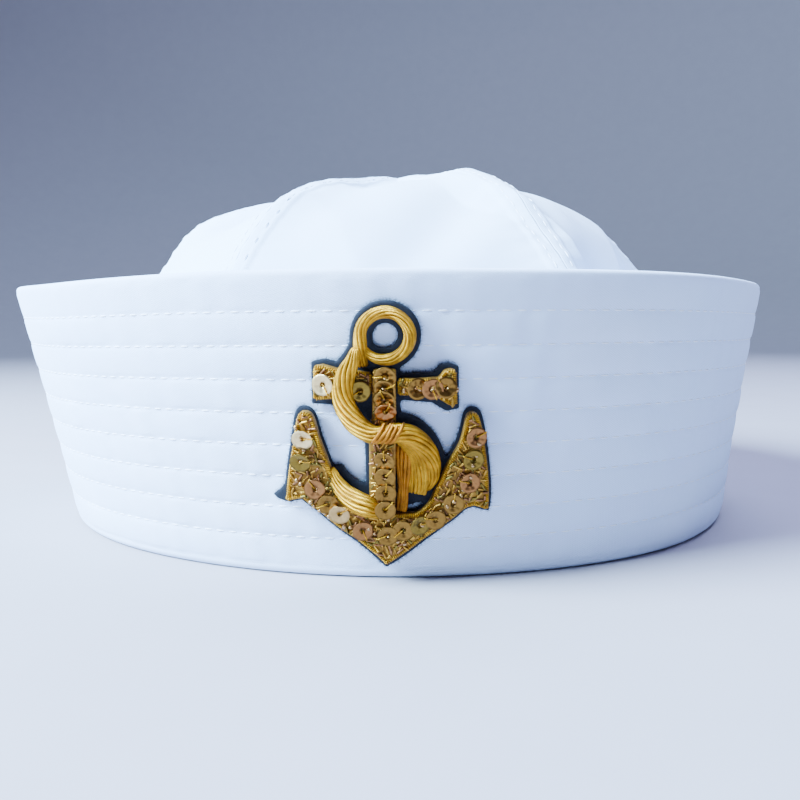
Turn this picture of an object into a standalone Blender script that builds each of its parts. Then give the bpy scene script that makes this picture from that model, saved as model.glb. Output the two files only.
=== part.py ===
"""A white cotton sailor cap: a soft crown of six gores inside a quilted, turned-up brim,
with an anchor badge of padded gold thread and sequins on navy felt.

Metres, +Z up. The cap stands on the floor on its turned fold, with its rim centred over the
origin, and its front, with the badge, faces -Y. Run it in Blender 4.5:  blender --background --python part.py
"""

import math
from collections import namedtuple

import bmesh
import bpy
from mathutils import Matrix, Vector

# The fold that the cap stands on, and the brim turned up from it. The brim leans to the left:
# the fold's middle lies FOLD_SHIFT to the right of the rim's
BASE_WIDTH = 0.184
BASE_LENGTH = 0.192
BRIM_HEIGHT = 0.060
SIDE_FLARE = 0.0098
FRONT_FLARE = 0.0119
FOLD_SHIFT = 0.0026
BRIM_THICKNESS = 0.0026
QUILT_BANDS = 9
QUILT_PUFF = 0.0005
REST_WIDTH = 0.0022
LIP_HEIGHT = 0.009
LIP_THICKNESS = 0.0014
SEAM_GAP = 0.0005
BRIM_COLUMNS = 60

# The crown, a soft dome of cloth gores that stands in the fold
CROWN_HEIGHT = 0.092
CROWN_FULLNESS = 2.4
CROWN_CLOTH = 0.0012
GORES = 6
GORE_GAP = 0.0003
GORE_TIP = 0.0009
GORE_COLUMNS = 8
GORE_ROWS = 12
SEAM_RIDGE = 0.0016
SEAM_RIDGE_WIDTH = 0.007
PANEL_SAG = 0.30

# The badge on the front of the brim
BADGE_FOOT = 0.0040
BADGE_TILT = math.radians(-0.6)
ANCHOR_HEIGHT = 0.0486
ANCHOR_WIDTH = 0.0380
FELT_THICKNESS = 0.0010
FELT_MARGIN = 0.0012
GOLD_THICKNESS = 0.0015
GOLD_EDGE = 0.0004
PIECE_GAP = 0.0003
RING_RADIUS = 0.0044
RING_WIRE = 0.00115
RING_RISE = 0.883
RING_TAIL_RISE = 0.739
SHANK_WIDTH = 0.0041
ROPE_WIDTH = 0.0032
ROPE_FLATTENING = 0.62
SEQUIN_DIAMETER = 0.0040
SEQUIN_HOLE = 0.0010
SEQUIN_THICKNESS = 0.00022
SEQUIN_SIDES = 10
BEND_STRIP = 0.0048

# A fold or dent of the crown: where its middle is, which way its long side runs, how wide and
# long it is and how far it stands out. rise is the share of the way from fold to top, and
# width, length and push are shares of the crown's height.
Fold = namedtuple("Fold", "azimuth rise turn width length push")
FOLDS = (
    Fold(azimuth=27, rise=0.74, turn=0, width=0.13, length=0.16, push=0.026),
    Fold(azimuth=-28, rise=0.66, turn=10, width=0.17, length=0.34, push=-0.006),
    Fold(azimuth=12, rise=0.60, turn=-32, width=0.11, length=0.30, push=-0.026),
    Fold(azimuth=38, rise=0.50, turn=-24, width=0.08, length=0.26, push=0.018),
    Fold(azimuth=64, rise=0.62, turn=12, width=0.30, length=0.26, push=0.032),
    Fold(azimuth=-66, rise=0.74, turn=-15, width=0.20, length=0.18, push=-0.044),
    Fold(azimuth=-88, rise=0.60, turn=0, width=0.24, length=0.16, push=0.030),
    Fold(azimuth=112, rise=0.62, turn=18, width=0.14, length=0.30, push=-0.024),
    Fold(azimuth=158, rise=0.70, turn=-14, width=0.16, length=0.28, push=0.022),
    Fold(azimuth=-140, rise=0.56, turn=26, width=0.13, length=0.30, push=-0.026),
)

# A point of a flat outline on the badge, as shares of half the anchor's width and of its height
Point = namedtuple("Point", "across up corner")
ARMS_OUTLINE = (
    Point(0.000, 0.000, True),
    Point(0.295, 0.076, False),
    Point(0.679, 0.181, False),
    Point(0.853, 0.226, True),
    Point(1.026, 0.204, True),
    Point(1.032, 0.298, False),
    Point(1.011, 0.422, False),
    Point(0.889, 0.580, True),
    Point(0.758, 0.498, False),
    Point(0.647, 0.395, False),
    Point(0.589, 0.300, False),
    Point(0.505, 0.222, False),
    Point(0.347, 0.180, False),
    Point(0.124, 0.172, False),
    Point(-0.124, 0.174, False),
    Point(-0.242, 0.183, False),
    Point(-0.379, 0.214, False),
    Point(-0.495, 0.265, False),
    Point(-0.563, 0.333, False),
    Point(-0.621, 0.420, False),
    Point(-0.700, 0.514, False),
    Point(-0.784, 0.572, True),
    Point(-0.905, 0.481, False),
    Point(-0.942, 0.360, False),
    Point(-0.974, 0.259, True),
    Point(-0.816, 0.253, True),
    Point(-0.605, 0.177, False),
    Point(-0.221, 0.074, False),
)

# How far the cross bar's ends reach, and how tall they are at the shank and at the tip
Stock = namedtuple("Stock", "side reach tip_low tip_high root_low root_high")
STOCKS = (
    Stock(side=-1, reach=0.690, tip_low=0.630, tip_high=0.770, root_low=0.648, root_high=0.716),
    Stock(side=1, reach=0.716, tip_low=0.617, tip_high=0.761, root_low=0.648, root_high=0.716),
)

# A point on a rope's middle line, in the same shares. over is 0 on the felt and 1 over the gold
Turn = namedtuple("Turn", "across up over")
ROPE_PATH = (
    Turn(-0.310, 0.778, 1.0),
    Turn(-0.390, 0.735, 1.0),
    Turn(-0.408, 0.678, 1.0),
    Turn(-0.374, 0.614, 0.9),
    Turn(-0.263, 0.556, 0.9),
    Turn(-0.116, 0.514, 1.0),
    Turn(0.053, 0.498, 1.0),
    Turn(0.237, 0.484, 0.8),
    Turn(0.384, 0.446, 0.2),
    Turn(0.450, 0.392, 0.0),
    Turn(0.434, 0.338, 0.0),
    Turn(0.345, 0.303, 0.0),
    Turn(0.220, 0.288, 0.0),
)
COIL_TURNS = 4
TAIL_PATH = (
    Turn(-0.216, 0.233, 0.0),
    Turn(-0.310, 0.252, 0.0),
    Turn(-0.395, 0.290, 0.0),
    Turn(-0.447, 0.338, 0.0),
)

# A window cut through the felt, in the same shares, turned by turn degrees
Window = namedtuple("Window", "across up width height turn")
WINDOWS = (
    Window(across=-0.196, up=0.612, width=0.0016, height=0.0030, turn=14),
    Window(across=0.345, up=0.233, width=0.0062, height=0.0014, turn=16),
)

# A row of sequins from one point to another, each lapping the one before it
Row = namedtuple("Row", "start end count")
SEQUIN_ROWS = (
    Row(start=(0.000, 0.742), end=(0.000, 0.612), count=4),
    Row(start=(0.000, 0.414), end=(0.000, 0.214), count=4),
    Row(start=(-0.585, 0.700), end=(-0.585, 0.700), count=1),
    Row(start=(-0.235, 0.684), end=(-0.235, 0.684), count=1),
    Row(start=(0.290, 0.684), end=(0.580, 0.688), count=3),
    Row(start=(-0.785, 0.490), end=(-0.790, 0.405), count=2),
    Row(start=(-0.660, 0.294), end=(-0.425, 0.176), count=3),
    Row(start=(-0.215, 0.122), end=(-0.215, 0.122), count=1),
    Row(start=(0.022, 0.105), end=(0.470, 0.172), count=4),
    Row(start=(0.645, 0.232), end=(0.790, 0.318), count=2),
    Row(start=(0.838, 0.411), end=(0.860, 0.500), count=2),
)

RING_HEIGHT = RING_RISE * ANCHOR_HEIGHT
HALF_WIDTH = BASE_WIDTH / 2
HALF_LENGTH = BASE_LENGTH / 2
FOLD_WIDTH = BRIM_THICKNESS + CROWN_CLOTH + 2 * SEAM_GAP + LIP_THICKNESS
FOLD_RADIUS = (FOLD_WIDTH - REST_WIDTH) / 2
FOLD_FLOOR = LIP_THICKNESS
CROWN_INSET = BRIM_THICKNESS + SEAM_GAP
CROWN_FOOT = FOLD_FLOOR + SEAM_GAP
WALL_LENGTH = math.hypot(BRIM_HEIGHT - FOLD_RADIUS, FRONT_FLARE)
FELT_LOW = QUILT_PUFF + PIECE_GAP
FELT_TOP = FELT_LOW + FELT_THICKNESS
GOLD_LOW = FELT_TOP + PIECE_GAP
GOLD_TOP = GOLD_LOW + GOLD_THICKNESS


def clear_scene():
    """Empties the scene, whatever it was started with."""
    for item in list(bpy.data.objects):
        bpy.data.objects.remove(item)


def material(name, colour, roughness, metallic=0.0):
    """A plain Principled material of one colour."""
    made = bpy.data.materials.new(name)
    made.use_nodes = True
    shader = made.node_tree.nodes["Principled BSDF"]
    shader.inputs["Base Color"].default_value = (*colour, 1.0)
    shader.inputs["Roughness"].default_value = roughness
    shader.inputs["Metallic"].default_value = metallic
    return made


def smooth_step(value, low, high):
    """0 below low, 1 above high, and an even rise between them."""
    share = min(1.0, max(0.0, (value - low) / (high - low)))
    return share * share * (3 - 2 * share)


def oval_point(angle, outward, height, shift=FOLD_SHIFT):
    """A point outward of the base oval. angle is 0 at the front and grows to the right."""
    across = (HALF_WIDTH + outward) * math.sin(angle)
    along = -(HALF_LENGTH + outward) * math.cos(angle)
    return Vector((across + shift, along, height))


def wall_share(height):
    """How far up the brim's wall a height is, from 0 at the fold to 1 at the rim."""
    return max(0.0, (height - FOLD_RADIUS) / (BRIM_HEIGHT - FOLD_RADIUS))


def flare_at(angle, share):
    """How far the brim's wall leans out there."""
    full = SIDE_FLARE * math.sin(angle) ** 2 + FRONT_FLARE * math.cos(angle) ** 2
    return full * share


def brim_point(angle, outward, height):
    """A point of the brim, outward of the wall's outer face, before any quilting."""
    share = wall_share(height)
    lean = outward + flare_at(angle, share)
    return oval_point(angle, lean, height, FOLD_SHIFT * (1 - share))


def quarter(centre, radius, start, steps):
    """Points on a quarter of a circle in the brim's section, turning clockwise from start."""
    found = []
    for step in range(steps + 1):
        angle = math.radians(start - 90 * step / steps)
        found.append((centre[0] + radius * math.cos(angle), centre[1] + radius * math.sin(angle)))
    return found


def fold_section():
    """The part of the brim's section that stays upright, as (outward, height) pairs: round the
    fold, up the lip inside it and down into the seam that holds the crown."""
    section = quarter((-FOLD_RADIUS, FOLD_RADIUS), FOLD_RADIUS, 0, 3)
    section += quarter((FOLD_RADIUS - FOLD_WIDTH, FOLD_RADIUS), FOLD_RADIUS, 270, 3)
    lip_out = LIP_THICKNESS - FOLD_WIDTH
    section += [(-FOLD_WIDTH, LIP_HEIGHT), (lip_out, LIP_HEIGHT)]
    section += [(lip_out, FOLD_FLOOR), (-BRIM_THICKNESS, FOLD_FLOOR)]
    return section


def wall_section():
    """The part that leans out: up the inner wall, over the rim and down the quilted bands."""
    edge = BRIM_THICKNESS / 2
    top = BRIM_HEIGHT - edge
    section = [(-BRIM_THICKNESS, top)]
    section += quarter((-edge, top), edge, 180, 4)[1:-1]
    steps = 2 * QUILT_BANDS
    for step in range(steps):
        height = top + (FOLD_RADIUS - top) * step / steps
        section.append((QUILT_PUFF * (step % 2), height))
    return section


def link(item, collection, parent):
    """Puts an object in the cap's collection, under its empty."""
    for other in list(item.users_collection):
        other.objects.unlink(item)
    collection.objects.link(item)
    item.parent = parent


def mesh_object(name, bm):
    """An object made of a bmesh, with its faces turned outwards."""
    bmesh.ops.recalc_face_normals(bm, faces=bm.faces)
    mesh = bpy.data.meshes.new(name)
    bm.to_mesh(mesh)
    bm.free()
    made = bpy.data.objects.new(name, mesh)
    bpy.context.scene.collection.objects.link(made)
    return made


def make_brim():
    """The brim: a grid wrapped round the oval and along its section, then welded shut."""
    fold, wall = fold_section(), wall_section()
    rows = len(fold) + len(wall)
    bm = bmesh.new()
    bmesh.ops.create_grid(bm, x_segments=BRIM_COLUMNS, y_segments=rows, size=0.5)
    for vertex in bm.verts:
        turn = 2 * math.pi * (vertex.co.x + 0.5)
        row = round((vertex.co.y + 0.5) * rows) % rows
        if row < len(fold):
            vertex.co = oval_point(turn, *fold[row])
        else:
            vertex.co = brim_point(turn, *wall[row - len(fold)])
    bmesh.ops.remove_doubles(bm, verts=bm.verts, dist=1e-6)
    return mesh_object("brim", bm)


def dome_section(rise):
    """(radius, height) on the crown's plain dome, as shares, and the outward direction there."""
    angle = rise * math.pi / 2
    power = 2 / CROWN_FULLNESS
    radius = max(math.cos(angle), 0.0) ** power
    height = math.sin(angle) ** power
    tall = CROWN_HEIGHT - CROWN_FOOT
    wide = HALF_WIDTH - CROWN_INSET
    slope = CROWN_FULLNESS - 1
    outward = Vector((radius**slope / wide, height**slope / tall)).normalized()
    return radius, height, outward


def fold_push(angle, rise, radius):
    """How far all the folds together push the crown's cloth out at one place."""
    total = 0.0
    run = rise * math.pi / 2 * CROWN_HEIGHT
    for fold in FOLDS:
        around = (angle - math.radians(fold.azimuth) + math.pi) % (2 * math.pi) - math.pi
        across = around * radius
        up = run - fold.rise * math.pi / 2 * CROWN_HEIGHT
        turn = math.radians(fold.turn)
        wide = across * math.cos(turn) + up * math.sin(turn)
        long = up * math.cos(turn) - across * math.sin(turn)
        wide /= fold.width * CROWN_HEIGHT
        long /= fold.length * CROWN_HEIGHT
        total += fold.push * CROWN_HEIGHT * math.exp(-wide * wide - long * long)
    return total


def seam_push(angle, radius):
    """How far a seam's ridge stands out, and how far a panel sinks between two seams."""
    gore = 2 * math.pi / GORES
    off_seam = abs((angle / gore) % 1 - 0.5) * gore
    ridge = SEAM_RIDGE * math.exp(-((off_seam * radius / SEAM_RIDGE_WIDTH) ** 2))
    share = off_seam / (gore / 2)
    sag = PANEL_SAG * radius * (1 - math.cos(gore / 2)) * (1 - (1 - share) ** 2)
    return ridge - sag


def crown_point(angle, rise, depth):
    """A point of the crown's cloth, depth below its outer face."""
    radius, height, outward = dome_section(rise)
    wide = HALF_WIDTH - CROWN_INSET
    long = HALF_LENGTH - CROWN_INSET
    tall = CROWN_HEIGHT - CROWN_FOOT
    mean = radius * (wide + long) / 2
    loose = smooth_step(rise, 0.12, 0.42)
    push = loose * (fold_push(angle, rise, mean) + seam_push(angle, mean)) - depth
    across = FOLD_SHIFT + (wide * radius + push * outward.x) * math.sin(angle)
    along = -(long * radius + push * outward.x) * math.cos(angle)
    return Vector((across, along, CROWN_FOOT + tall * height + push * outward.y))


def tip_rise():
    """The rise at which a gore stops, just short of the middle of the top."""
    share = GORE_TIP / (HALF_WIDTH - CROWN_INSET)
    return math.acos(share ** (CROWN_FULLNESS / 2)) * 2 / math.pi


def make_gore(number):
    """One gore: a flat slab that is bent over the crown between two seams."""
    gore = 2 * math.pi / GORES
    middle = gore * number
    bm = bmesh.new()
    bmesh.ops.create_grid(bm, x_segments=GORE_COLUMNS, y_segments=GORE_ROWS, size=0.5)
    lower = bmesh.ops.extrude_face_region(bm, geom=bm.faces[:])["geom"]
    for item in lower:
        if isinstance(item, bmesh.types.BMVert):
            item.co.z = -CROWN_CLOTH
    last = tip_rise()
    for vertex in bm.verts:
        rise = (vertex.co.y + 0.5) * last
        radius = dome_section(rise)[0] * (HALF_WIDTH - CROWN_INSET)
        half = gore / 2 - GORE_GAP / 2 / radius
        vertex.co = crown_point(middle + 2 * half * vertex.co.x, rise, -vertex.co.z)
    return mesh_object(f"crown_gore_{number + 1}", bm)


def on_wall(across, up, lift):
    """A badge point on the brim: across and up along the wall's front, lift out from it."""
    tilted = Vector((across, up - ANCHOR_HEIGHT / 2))
    tilted.rotate(Matrix.Rotation(BADGE_TILT, 2))
    up_wall = BADGE_FOOT + ANCHOR_HEIGHT / 2 + tilted.y
    share = up_wall / WALL_LENGTH
    height = FOLD_RADIUS + (BRIM_HEIGHT - FOLD_RADIUS) * share
    width = HALF_WIDTH + FRONT_FLARE * share
    angle = (tilted.x - FOLD_SHIFT * (1 - share)) / width
    foot = brim_point(angle, 0.0, height)
    side = (brim_point(angle + 0.01, 0.0, height) - foot).normalized()
    rise = (brim_point(angle, 0.0, height + 0.001) - foot).normalized()
    return foot + side.cross(rise).normalized() * lift


def shared(across, up):
    """A place on the badge, from shares of half the anchor's width and of its height."""
    return Vector((across * ANCHOR_WIDTH / 2, up * ANCHOR_HEIGHT))


def curve_between(before, start, end, after, share):
    """A point on the smooth curve through four points, between the middle two."""
    square, cube = share * share, share**3
    return 0.5 * (
        2 * start
        + (end - before) * share
        + (2 * before - 5 * start + 4 * end - after) * square
        + (3 * start - before - 3 * end + after) * cube
    )


def smooth_path(points, steps):
    """A smooth open curve through the points, with steps to each stretch."""
    padded = [2 * points[0] - points[1], *points, 2 * points[-1] - points[-2]]
    found = []
    for i in range(1, len(padded) - 2):
        for step in range(steps):
            found.append(curve_between(*padded[i - 1 : i + 3], step / steps))
    return found + [points[-1]]


def smooth_outline(points, steps=2):
    """A closed outline, smooth between its corners. The first point is a corner."""
    places = [shared(p.across, p.up) for p in points] + [shared(points[0].across, points[0].up)]
    corners = [i for i, p in enumerate(points) if p.corner] + [len(points)]
    found = []
    for first, last in zip(corners[:-1], corners[1:]):
        if last == first + 1:
            found.append(places[first])
        else:
            found += smooth_path(places[first : last + 1], steps)[:-1]
    return found


def grown(outline, margin):
    """The outline moved outwards by margin. It runs anticlockwise."""
    found = []
    count = len(outline)
    for i, place in enumerate(outline):
        before = (place - outline[i - 1]).normalized()
        after = (outline[(i + 1) % count] - place).normalized()
        way = before + after
        found.append(place + Vector((way.y, -way.x)).normalized() * margin)
    return found


def ribbon(path, half_width, end_steps=4):
    """The outline, anticlockwise, of a flat ribbon with round ends along a path."""
    ways = []
    for i in range(len(path)):
        ways.append((path[min(i + 1, len(path) - 1)] - path[max(i - 1, 0)]).normalized())
    right = [p + Vector((w.y, -w.x)) * half_width for p, w in zip(path, ways)]
    left = [p - Vector((w.y, -w.x)) * half_width for p, w in zip(path, ways)]
    ends = []
    for place, way in ((path[-1], ways[-1]), (path[0], -ways[0])):
        cap = []
        for step in range(1, end_steps):
            angle = math.pi * step / end_steps - math.pi / 2
            spoke = way * math.cos(angle) + Vector((-way.y, way.x)) * math.sin(angle)
            cap.append(place + spoke * half_width)
        ends.append(cap)
    return right + ends[0] + left[::-1] + ends[1]


def ellipse(window, steps=14):
    """The outline of one window in the felt."""
    middle = shared(window.across, window.up)
    found = []
    for step in range(steps):
        angle = 2 * math.pi * step / steps
        spoke = Vector((window.width * math.cos(angle), window.height * math.sin(angle))) / 2
        spoke.rotate(Matrix.Rotation(math.radians(window.turn), 2))
        found.append(middle + spoke)
    return found


def circle(middle, radius, steps):
    """The outline of a circle."""
    turns = [2 * math.pi * step / steps for step in range(steps)]
    return [middle + radius * Vector((math.cos(turn), math.sin(turn))) for turn in turns]


def as_mesh(item, name):
    """Makes a plain mesh object of an object, with its caps welded, and removes the object."""
    graph = bpy.context.evaluated_depsgraph_get()
    mesh = bpy.data.meshes.new_from_object(item.evaluated_get(graph))
    bm = bmesh.new()
    bm.from_mesh(mesh)
    bm.transform(item.matrix_world)
    bpy.data.meshes.remove(mesh)
    bpy.data.objects.remove(item)
    bmesh.ops.remove_doubles(bm, verts=bm.verts, dist=1e-6)
    return mesh_object(name, bm)


def flat_piece(name, outline, low, high, edge=0.0):
    """A flat solid on the badge, from low to high above the wall, with its edges rounded."""
    curve = bpy.data.curves.new(name, "CURVE")
    curve.dimensions = "2D"
    curve.fill_mode = "BOTH"
    curve.extrude = (high - low) / 2 - edge
    curve.bevel_depth = edge
    curve.bevel_resolution = 0
    curve.offset = -edge
    spline = curve.splines.new("POLY")
    spline.points.add(len(outline) - 1)
    for point, place in zip(spline.points, outline):
        point.co = (place.x, place.y, 0.0, 1.0)
    spline.use_cyclic_u = True
    item = bpy.data.objects.new(name, curve)
    bpy.context.scene.collection.objects.link(item)
    item.location.z = (low + high) / 2
    bpy.context.view_layer.update()
    return as_mesh(item, name)


def lay_on_brim(item):
    """Bends a flat badge piece onto the brim, in strips narrow enough to follow it."""
    bm = bmesh.new()
    bm.from_mesh(item.data)
    low = min(v.co.x for v in bm.verts)
    high = max(v.co.x for v in bm.verts)
    for strip in range(1, math.ceil((high - low) / BEND_STRIP)):
        parts = bm.verts[:] + bm.edges[:] + bm.faces[:]
        place = Vector((low + strip * BEND_STRIP, 0, 0))
        bmesh.ops.bisect_plane(bm, geom=parts, dist=1e-6, plane_co=place, plane_no=(1, 0, 0))
    bmesh.ops.triangulate(bm, faces=bm.faces)
    for vertex in bm.verts:
        vertex.co = on_wall(*vertex.co)
    bm.to_mesh(item.data)
    bm.free()
    return item


def join(item, others, operation):
    """Joins other flat pieces to a piece, or cuts them from it, one by one, and removes them."""
    name = item.name
    for other in others:
        modifier = item.modifiers.new(other.name, "BOOLEAN")
        modifier.object = other
        modifier.operation = operation
        modifier.solver = "EXACT"
        item.name = name + "_before"
        item = as_mesh(item, name)
        bm = bmesh.new()
        bm.from_mesh(item.data)
        bmesh.ops.dissolve_limit(bm, angle_limit=0.01, verts=bm.verts, edges=bm.edges)
        bm.to_mesh(item.data)
        bm.free()
        bpy.data.objects.remove(other)
    return item


def path_places(path, steps=3):
    """The smooth middle line of a rope on the flat badge."""
    return smooth_path([shared(turn.across, turn.up) for turn in path], steps)


def rope_spots(path, width):
    """A rope's points as (across, up, lift), on the felt or over the gold."""
    spots = []
    for turn in path:
        ground = GOLD_LOW + turn.over * (GOLD_THICKNESS + PIECE_GAP)
        place = shared(turn.across, turn.up)
        spots.append(Vector((place.x, place.y, ground + width / 2 * ROPE_FLATTENING)))
    return spots


def make_rope(name, spots, width):
    """A rope: a round tube through its spots, flattened onto what it lies on."""
    curve = bpy.data.curves.new(name, "CURVE")
    curve.dimensions = "3D"
    curve.bevel_depth = width / 2
    curve.bevel_resolution = 2
    curve.use_fill_caps = True
    line = smooth_path(spots, 2)
    spline = curve.splines.new("POLY")
    spline.points.add(len(line) - 1)
    for point, place in zip(spline.points, line):
        point.co = (place.x, place.y, place.z / ROPE_FLATTENING, 1.0)
    item = bpy.data.objects.new(name, curve)
    bpy.context.scene.collection.objects.link(item)
    made = as_mesh(item, name)
    for vertex in made.data.vertices:
        across, up, lift = vertex.co
        vertex.co = on_wall(across, up, lift * ROPE_FLATTENING)
    return made


def ring_tail():
    """The straight end of the ring's rope, from the ring's left side down beside the shank."""
    inner = SHANK_WIDTH / 2 + PIECE_GAP + RING_WIRE
    return [Vector((-RING_RADIUS, RING_HEIGHT)), Vector((-inner, RING_TAIL_RISE * ANCHOR_HEIGHT))]


def make_ring():
    """The anchor's ring: a rope that goes once round and then straight down on the left."""
    lift = GOLD_LOW + RING_WIRE * ROPE_FLATTENING
    spots = []
    for turn in range(-100, 180, 35):
        angle = math.radians(turn)
        across = RING_RADIUS * math.cos(angle)
        spots.append(Vector((across, RING_HEIGHT + RING_RADIUS * math.sin(angle), lift)))
    spots += [Vector((place.x, place.y, lift)) for place in ring_tail()]
    return make_rope("anchor_ring", spots, 2 * RING_WIRE)


def coil_outline():
    """What lies inside the rope's right-hand turn: from the shank's edge to the rope's."""
    line = path_places(ROPE_PATH[-COIL_TURNS - 2 :])
    inset = ROPE_WIDTH / 2 + PIECE_GAP
    edge = SHANK_WIDTH / 2 + PIECE_GAP
    found = []
    for before, place, after in zip(line[:-2], line[1:-1], line[2:]):
        way = (after - before).normalized()
        inside = place + Vector((way.y, -way.x)) * inset
        if inside.x > edge + PIECE_GAP:
            found.append(inside)
    found = found[::-1]
    return found + [Vector((edge, found[-1].y)), Vector((edge, found[0].y))]


def shank_outline(margin=0.0):
    """The shank, from the arms up to the ring."""
    half = SHANK_WIDTH / 2 + margin
    foot = shared(0.0, 0.174).y + PIECE_GAP - margin
    top = RING_HEIGHT - RING_RADIUS - RING_WIRE - PIECE_GAP + margin
    return [Vector((-half, foot)), Vector((half, foot)), Vector((half, top)), Vector((-half, top))]


def stock_outline(stock):
    """One side of the cross bar, which flares towards its tip."""
    root = SHANK_WIDTH / 2 + PIECE_GAP
    tip = stock.reach * ANCHOR_WIDTH / 2
    waist = root + (tip - root) * 0.55
    low = [stock.root_low, stock.root_low * 0.8 + stock.tip_low * 0.2, stock.tip_low]
    high = [stock.root_high, stock.root_high * 0.8 + stock.tip_high * 0.2, stock.tip_high]
    reaches = [root, waist, tip]
    lower = [Vector((reach, share * ANCHOR_HEIGHT)) for reach, share in zip(reaches, low)]
    upper = [Vector((reach, share * ANCHOR_HEIGHT)) for reach, share in zip(reaches, high)]
    outline = lower + upper[::-1]
    if stock.side < 0:
        outline = [Vector((-place.x, place.y)) for place in outline][::-1]
    return outline


def make_felt():
    """The felt: every gold shape grown by the felt's margin and joined, then its windows cut."""
    shapes = [
        circle(Vector((0, RING_HEIGHT)), RING_RADIUS + RING_WIRE + FELT_MARGIN, 28),
        ribbon(ring_tail(), RING_WIRE + FELT_MARGIN),
        shank_outline(FELT_MARGIN),
        grown(smooth_outline(ARMS_OUTLINE), FELT_MARGIN),
        ribbon(path_places(ROPE_PATH), ROPE_WIDTH / 2 + FELT_MARGIN),
        [shared(0.0, ROPE_PATH[-1].up)] + path_places(ROPE_PATH[-COIL_TURNS - 3 :])[::-1],
        ribbon(path_places(TAIL_PATH), ROPE_WIDTH / 2 + FELT_MARGIN),
    ]
    shapes += [grown(stock_outline(stock), FELT_MARGIN) for stock in STOCKS]
    pieces = []
    for number, shape in enumerate(shapes):
        pieces.append(flat_piece(f"felt_shape_{number}", shape, FELT_LOW, FELT_TOP))
    whole = join(pieces[0], pieces[1:], "UNION")
    hole = RING_RADIUS - RING_WIRE - FELT_MARGIN
    holes = [circle(Vector((0, RING_HEIGHT)), hole, 20)] + [ellipse(w) for w in WINDOWS]
    cutters = []
    for number, shape in enumerate(holes):
        cutters.append(flat_piece(f"felt_hole_{number}", shape, 0.0, 2 * FELT_TOP))
    felt = join(whole, cutters, "DIFFERENCE")
    felt.name = "badge_felt"
    return lay_on_brim(felt)


def sequin_mesh():
    """One sequin: a flat washer, turned from its section."""
    bm = bmesh.new()
    section = (
        (SEQUIN_DIAMETER / 2, SEQUIN_THICKNESS),
        (SEQUIN_DIAMETER / 2, 0.0),
        (SEQUIN_HOLE / 2, 0.0),
        (SEQUIN_HOLE / 2, SEQUIN_THICKNESS),
    )
    corners = [bm.verts.new((radius, 0.0, height)) for radius, height in section]
    for i, corner in enumerate(corners):
        bm.edges.new((corner, corners[i - 1]))
    mesh = bpy.data.meshes.new("sequin")
    bm.to_mesh(mesh)
    bm.free()
    item = bpy.data.objects.new("sequin_turned", mesh)
    bpy.context.scene.collection.objects.link(item)
    screw = item.modifiers.new("turn", "SCREW")
    screw.steps = screw.render_steps = SEQUIN_SIDES
    screw.use_merge_vertices = True
    screw.merge_threshold = 0.00001
    turned = as_mesh(item, "sequin_turned")
    made = turned.data
    bpy.data.objects.remove(turned)
    return made


def sequin_places():
    """The middle of each sequin on the flat badge, and the way its row runs."""
    found = []
    for row in SEQUIN_ROWS:
        start, end = shared(*row.start), shared(*row.end)
        way = (end - start).normalized() if row.count > 1 else Vector((0.0, -1.0))
        pitch = (end - start).length / max(1, row.count - 1)
        for number in range(row.count):
            found.append((start + way * pitch * number, way, pitch))
    return found


def make_sequins():
    """The sequins, each tilted just enough to lie on the edge of the one before it."""
    mesh = sequin_mesh()
    found = []
    lap = SEQUIN_THICKNESS + PIECE_GAP
    for number, (place, way, pitch) in enumerate(sequin_places(), start=1):
        tilt = math.asin(min(1.0, lap / pitch)) if 0 < pitch < SEQUIN_DIAMETER + PIECE_GAP else 0.0
        lift = GOLD_TOP + PIECE_GAP + SEQUIN_DIAMETER / 2 * math.sin(tilt)
        middle = on_wall(place.x, place.y, lift)
        ahead = (on_wall(place.x + way.x * 1e-4, place.y + way.y * 1e-4, lift) - middle).normalized()
        out = (on_wall(place.x, place.y, lift + 1e-4) - middle).normalized()
        side = out.cross(ahead)
        frame = Matrix((ahead, side, out)).transposed() @ Matrix.Rotation(tilt, 3, "Y")
        item = bpy.data.objects.new(f"sequin_{number:02d}", mesh)
        item.matrix_world = Matrix.Translation(middle) @ frame.to_4x4()
        bpy.context.scene.collection.objects.link(item)
        found.append(item)
    return found


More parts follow.
